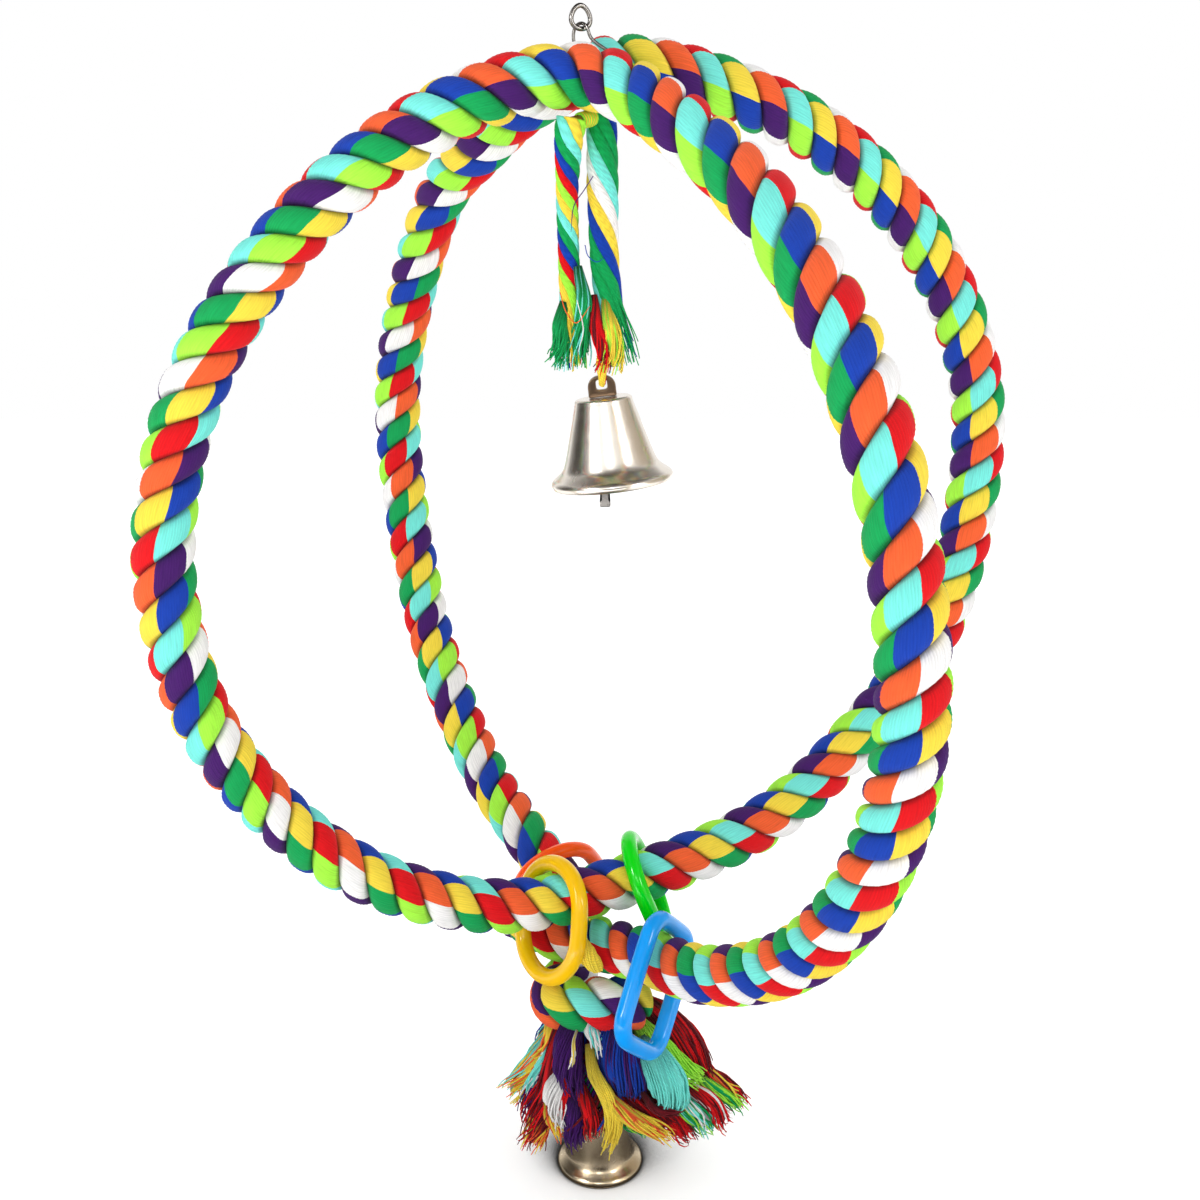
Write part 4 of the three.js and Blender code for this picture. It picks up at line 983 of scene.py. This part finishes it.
class SWING_OT_bells(bpy.types.Operator):
    """Builds both bells with their straps, hooks and clappers, and the yarn ties that carry them"""
    bl_idname = "swing.bells"
    bl_label = "Bells"

    def execute(self, context):
        for prefix, sizes in BELLS.items():
            self.bell(prefix, *sizes)
        return {"FINISHED"}

    def bell(self, prefix, finish, crown, lean, mouth, height, top, tie_offset, tie_length, clapper, tie_dyes):
        """Shell turned about its axis, a lug on its crown with a tie through it, and a clapper on an eye inside."""
        body = prefix + "_bell"
        crown = np.array(crown)
        turn = math.radians(lean)
        tilt = np.array(((math.cos(turn), 0, math.sin(turn)), (0, 1, 0), (-math.sin(turn), 0, math.cos(turn))))
        profile = self.profile(mouth, height, top)
        angle = np.arange(128) * TURN / 128
        rings = np.stack([profile[:, :1] * np.cos(angle), -profile[:, :1] * np.sin(angle),
                          np.broadcast_to(profile[:, 1:], (len(profile), 128))], axis=-1)
        shell = skin(prefix + "_bell_turned", row(rings @ tilt.T + crown))
        place(shell, body, "nickel", metal(finish), prefix + "_bell_shell")
        # The right half of the lug: 12.4 mm wide and 9.2 mm high, with shoulders of 5 mm radius.
        bend = math.pi / 2 * np.linspace(0, 1, 9)
        shoulder = np.stack([1.2 + 5 * np.sin(bend), 4.2 + 5 * np.cos(bend)], axis=1)
        half = np.concatenate([[(0, 9.2)], shoulder, [(6.2, 2), (6.2, 0.4), (5.8, 0), (2.5, 0), (0, 0)]])
        lug = self.holed_plate(half, 5.3, (2.5, 2.3), 4, 5) + (0, 0, 0.3)
        strap = skin(prefix + "_strap_lug", row(lug @ tilt.T + crown), closed=True)
        place(strap, body, "nickel", metal("tarnished_nickel_strap"), prefix + "_bell_strap")
        around = np.arange(64) * TURN / 64
        eye_radius, eye_drop, tie_count, tie_yarn = 3.4, 5.5, 18, 1.1
        eye = np.stack([np.zeros(64), eye_radius * np.cos(around), eye_radius * np.sin(around) - eye_drop], axis=1)
        wire = sweep(eye, circle(np.full(64, 0.6), 14), (1, 0, 0), closed=True)
        hook = skin(prefix + "_hook_eye", row(wire @ tilt.T + crown), closed=True)
        place(hook, body, "nickel", metal(finish), prefix + "_bell_hook")
        # The clapper: an eye on the hook's lowest point, a stem 3.2 mm wide and a foot 5 mm wide.
        turn_point = np.array((0, 0, -8.9)) @ tilt.T + crown - (0, 0, 1.15)
        bend = math.radians(152) * np.linspace(0, 1, 15)
        eye = np.stack([eye_radius * np.sin(bend), eye_radius * np.cos(bend)], axis=1)
        stem = [(1.6, z) for z in np.linspace(-4.2, 2.4 - clapper, 12)]
        foot = [(2.4, 2 - clapper), (2.5, 1 - clapper), (2.3, 0.2 - clapper), (1.5, -clapper), (0, -clapper)]
        tongue = self.holed_plate(np.concatenate([eye, stem, foot]), 0, (2.2, 2.2), 2, 1.5)
        swinging = skin(prefix + "_clapper_tongue", row(tongue + turn_point), closed=True)
        place(swinging, prefix + "_clapper", "nickel", metal("drawn_steel_wire"), prefix + "_bell_clapper")
        # The tie: down on one side, through the lug's hole and up on the other.
        pivot = np.array((tie_offset, 0, 6.05)) @ tilt.T + crown
        side = np.array([(5.3, tie_length), (5.3, tie_length * 0.45), (5.0, 2.1), (3.5, 0.2)])
        legs = np.concatenate([side * (-1, 1), [(0, 0)], side[::-1]])
        route = pivot + np.stack([np.zeros(len(legs)), legs[:, 0], legs[:, 1]], axis=1)
        girths = (9, 6, 4.2, 3.2, 3.4, 3.2, 4.2, 6, 9)
        lines = bundle(route, tie_count, girths, tie_yarn, 1, 3, ragged=0.12, rows=90, frayed=0.12)
        colours = [dye(tie_dyes[i % len(tie_dyes)]) for i in range(tie_count)]
        tie = yarn_piece(prefix + "_tie_yarn", lines, tie_yarn, colours)
        place(tie, "swing", tie_dyes[0] + "_yarn", spun_cotton(), prefix + "_bell_tie")

    def holed_plate(self, half, middle, hole, power, depth):
        """Flat plate with a hole, from the half of its outline on the right.

        The hole's edge n lies between the hole's middle and the outline o, where |x/a|^p + |z/b|^p = 1. A section
        is the oblong from n to o through the plate's depth, with its corners rounded to a radius of 0.5 mm.
        """
        whole = np.concatenate([half, (half * (-1, 1))[-2:0:-1]])
        edge = smooth_line(np.insert(whole, 1, 0, axis=1), rows=160, closed=True)[:, [0, 2]]
        ray = unit(edge - (0, middle))
        inner = (0, middle) + ray * ((np.abs(ray) / hole) ** power).sum(axis=1, keepdims=True) ** (-1 / power)
        angle = np.arange(24) * TURN / 24 + TURN / 48
        x, y = np.cos(angle), np.sin(angle)
        width = np.linalg.norm(edge - inner, axis=1)[:, None, None]
        across = (np.sign(x) * (width[..., 0] / 2 - 0.5) + 0.5 * x)[..., None]
        flat = (edge + inner)[:, None] / 2 + (edge - inner)[:, None] / width * across
        through = np.broadcast_to(-np.sign(y) * (depth / 2 - 0.5) - 0.5 * y, flat.shape[:2])
        return np.stack([flat[..., 0], through, flat[..., 1]], axis=-1)

    def profile(self, mouth, height, top):
        """Radius and height round the wall: crown, shoulder, flank, flare and rolled rim, then the inside back up."""
        rim, waist, wall, crown = mouth / 2, mouth / 2 * 0.75, 1.2, top / 2
        middle = crown + (waist - crown) * 0.45
        outer = np.array([
            (0.01, 0), (crown * 0.5, 0), (crown - 1.6, -0.05), (crown - 0.6, -0.3), (crown, -0.9),
            (crown + 0.25, -height * 0.06), (middle, -height * 0.36), (waist, -height * 0.73),
            (rim * 0.8, -height * 0.8), (rim * 0.89, -height * 0.86), (rim * 0.97, -height * 0.905),
            (rim, -height * 0.94), (rim - 0.1, -height * 0.97), (rim - 0.6, -height)])
        inner = np.array([
            (rim - 0.6 - wall, -height), (rim * 0.95 - wall, -height * 0.93), (rim * 0.82 - wall, -height * 0.84),
            (waist - wall, -height * 0.74), (middle - wall, -height * 0.36), (crown - wall, -wall - 0.8),
            (crown - wall - 1, -wall - 0.1), (0.01, -wall)])
        walls = [smooth_line(np.insert(wall_points, 1, 0, axis=1), rows=rows)[:, [0, 2]]
                 for wall_points, rows in ((outer, 90), (inner, 60))]
        return np.concatenate(walls)


class SWING_OT_lower_tassel(bpy.types.Operator):
    """Builds the gathered neck and the twelve frayed locks below the knot"""
    bl_idname = "swing.lower_tassel"
    bl_label = "Lower tassel"

    def execute(self, context):
        yarn = context.scene.swing_sizes.yarn / MM
        # The neck: 36 yarns that stand in a circle, drawn in at the top. The heart spreads out below it.
        angle = np.arange(36) * TURN / 36
        ring = np.stack([np.cos(angle), np.sin(angle), np.zeros(36)], axis=1)
        share = np.linspace(0, 1, 14)
        radius = np.interp(share, [0, 0.1, 0.85, 1], [8.0, 11.2, 11.2, 10])
        neck = TASSEL_AXIS + ring[:, None] * radius[None, :, None] + np.array((0, 0, 1.0)) * (
            -241.8 - 19.6 * share)[None, :, None]
        heart = bundle([TASSEL_AXIS + (0, 0, z) for z in (-246, -262, -276, -290)], 180, (20, 30, 50, 66), 2 * yarn,
                       0.2, 31, ragged=0.12, stray=1.6, rows=14, fill=0.2)
        # These yarns take mostly dark dyes, as painted shade between the locks.
        colours = ("purple", "maroon", "blue", "maroon", "purple", "green", "maroon")
        dyes = [dye(colours[i % len(colours)]) for i in range(len(neck) + len(heart))]
        core = yarn_piece("tassel_neck_yarn", np.concatenate([neck, heart]), 2 * yarn, dyes, sides=5)
        place(core, "swing", "purple_yarn", spun_cotton(), "tassel_core")
        fans = {lock: self.fan(*sizes) for lock, sizes in FANNED_LOCKS.items()}
        for k, (lock, tufts) in enumerate({**TUFTS, **fans, **LAST_TUFTS}.items()):
            tuft_pieces("lock_" + lock, tufts, yarn, 40 + 7 * k, lock.split("_")[1] + "_yarn", "lock_" + lock)
        return {"FINISHED"}

    def fan(self, bearing, reach, tip, dyes, side_dyes):
        """A full tuft straight out from the tassel's axis, and a lesser one on each side of it."""
        return [
            (dyes, 98, (11, 18, 19, 13), *self.straight_out(bearing, reach, tip)),
            (side_dyes, 48, (6, 10, 11, 10), *self.straight_out(bearing + 15, reach - 3, tip + 8)),
            (side_dyes, 42, (5, 9, 10, 9), *self.straight_out(bearing - 14, reach + 2, tip + 14)),
        ]

    def straight_out(self, bearing, reach, tip):
        """Places down a tuft, to 0.1 mm: 13, 21, 10 + 0.55 reach and reach from the axis, in a bow to the tip."""
        angle = math.radians(bearing)
        out = np.array((13, 21, 10 + 0.55 * reach, reach))
        level = (-242, -254, 0.45 * tip - 137.22, tip)
        return np.round(np.stack([out * math.cos(angle), out * math.sin(angle) + TASSEL_AXIS[1], level], axis=1), 1)


class VIEW3D_PT_swing(bpy.types.Panel):
    """Lists the swing's sizes, dyes and pieces"""
    bl_label = "Rope bird swing"
    bl_space_type = "VIEW_3D"
    bl_region_type = "UI"
    bl_category = "Swing"

    def draw(self, context):
        layout = self.layout
        for group in (context.scene.swing_sizes, context.scene.swing_dyes):
            box = layout.box()
            for prop in group.bl_rna.properties:
                if prop.identifier not in ("rna_type", "name"):
                    box.prop(group, prop.identifier)
        for operator in OPERATORS:
            layout.operator(operator.bl_idname)


OPERATORS = (
    SWING_OT_stage, SWING_OT_upper_tassels, SWING_OT_rope, SWING_OT_knot_strand, SWING_OT_hanger, SWING_OT_links,
    SWING_OT_bells, SWING_OT_lower_tassel,
)
CLASSES = (SwingDyes, SwingSizes, *OPERATORS, VIEW3D_PT_swing)


def register():
    for cls in CLASSES:
        bpy.utils.register_class(cls)
    bpy.types.Scene.swing_dyes = bpy.props.PointerProperty(type=SwingDyes)
    bpy.types.Scene.swing_sizes = bpy.props.PointerProperty(type=SwingSizes)


def unregister():
    del bpy.types.Scene.swing_sizes
    del bpy.types.Scene.swing_dyes
    for cls in reversed(CLASSES):
        bpy.utils.unregister_class(cls)


def main():
    """Builds everything in order."""
    register()
    bpy.ops.swing.stage()
    bpy.ops.swing.upper_tassels()
    bpy.ops.swing.rope()
    bpy.ops.swing.knot_strand()
    bpy.ops.swing.hanger()
    bpy.ops.swing.links()
    bpy.ops.swing.bells()
    bpy.ops.swing.lower_tassel()


if __name__ == "__main__":
    main()
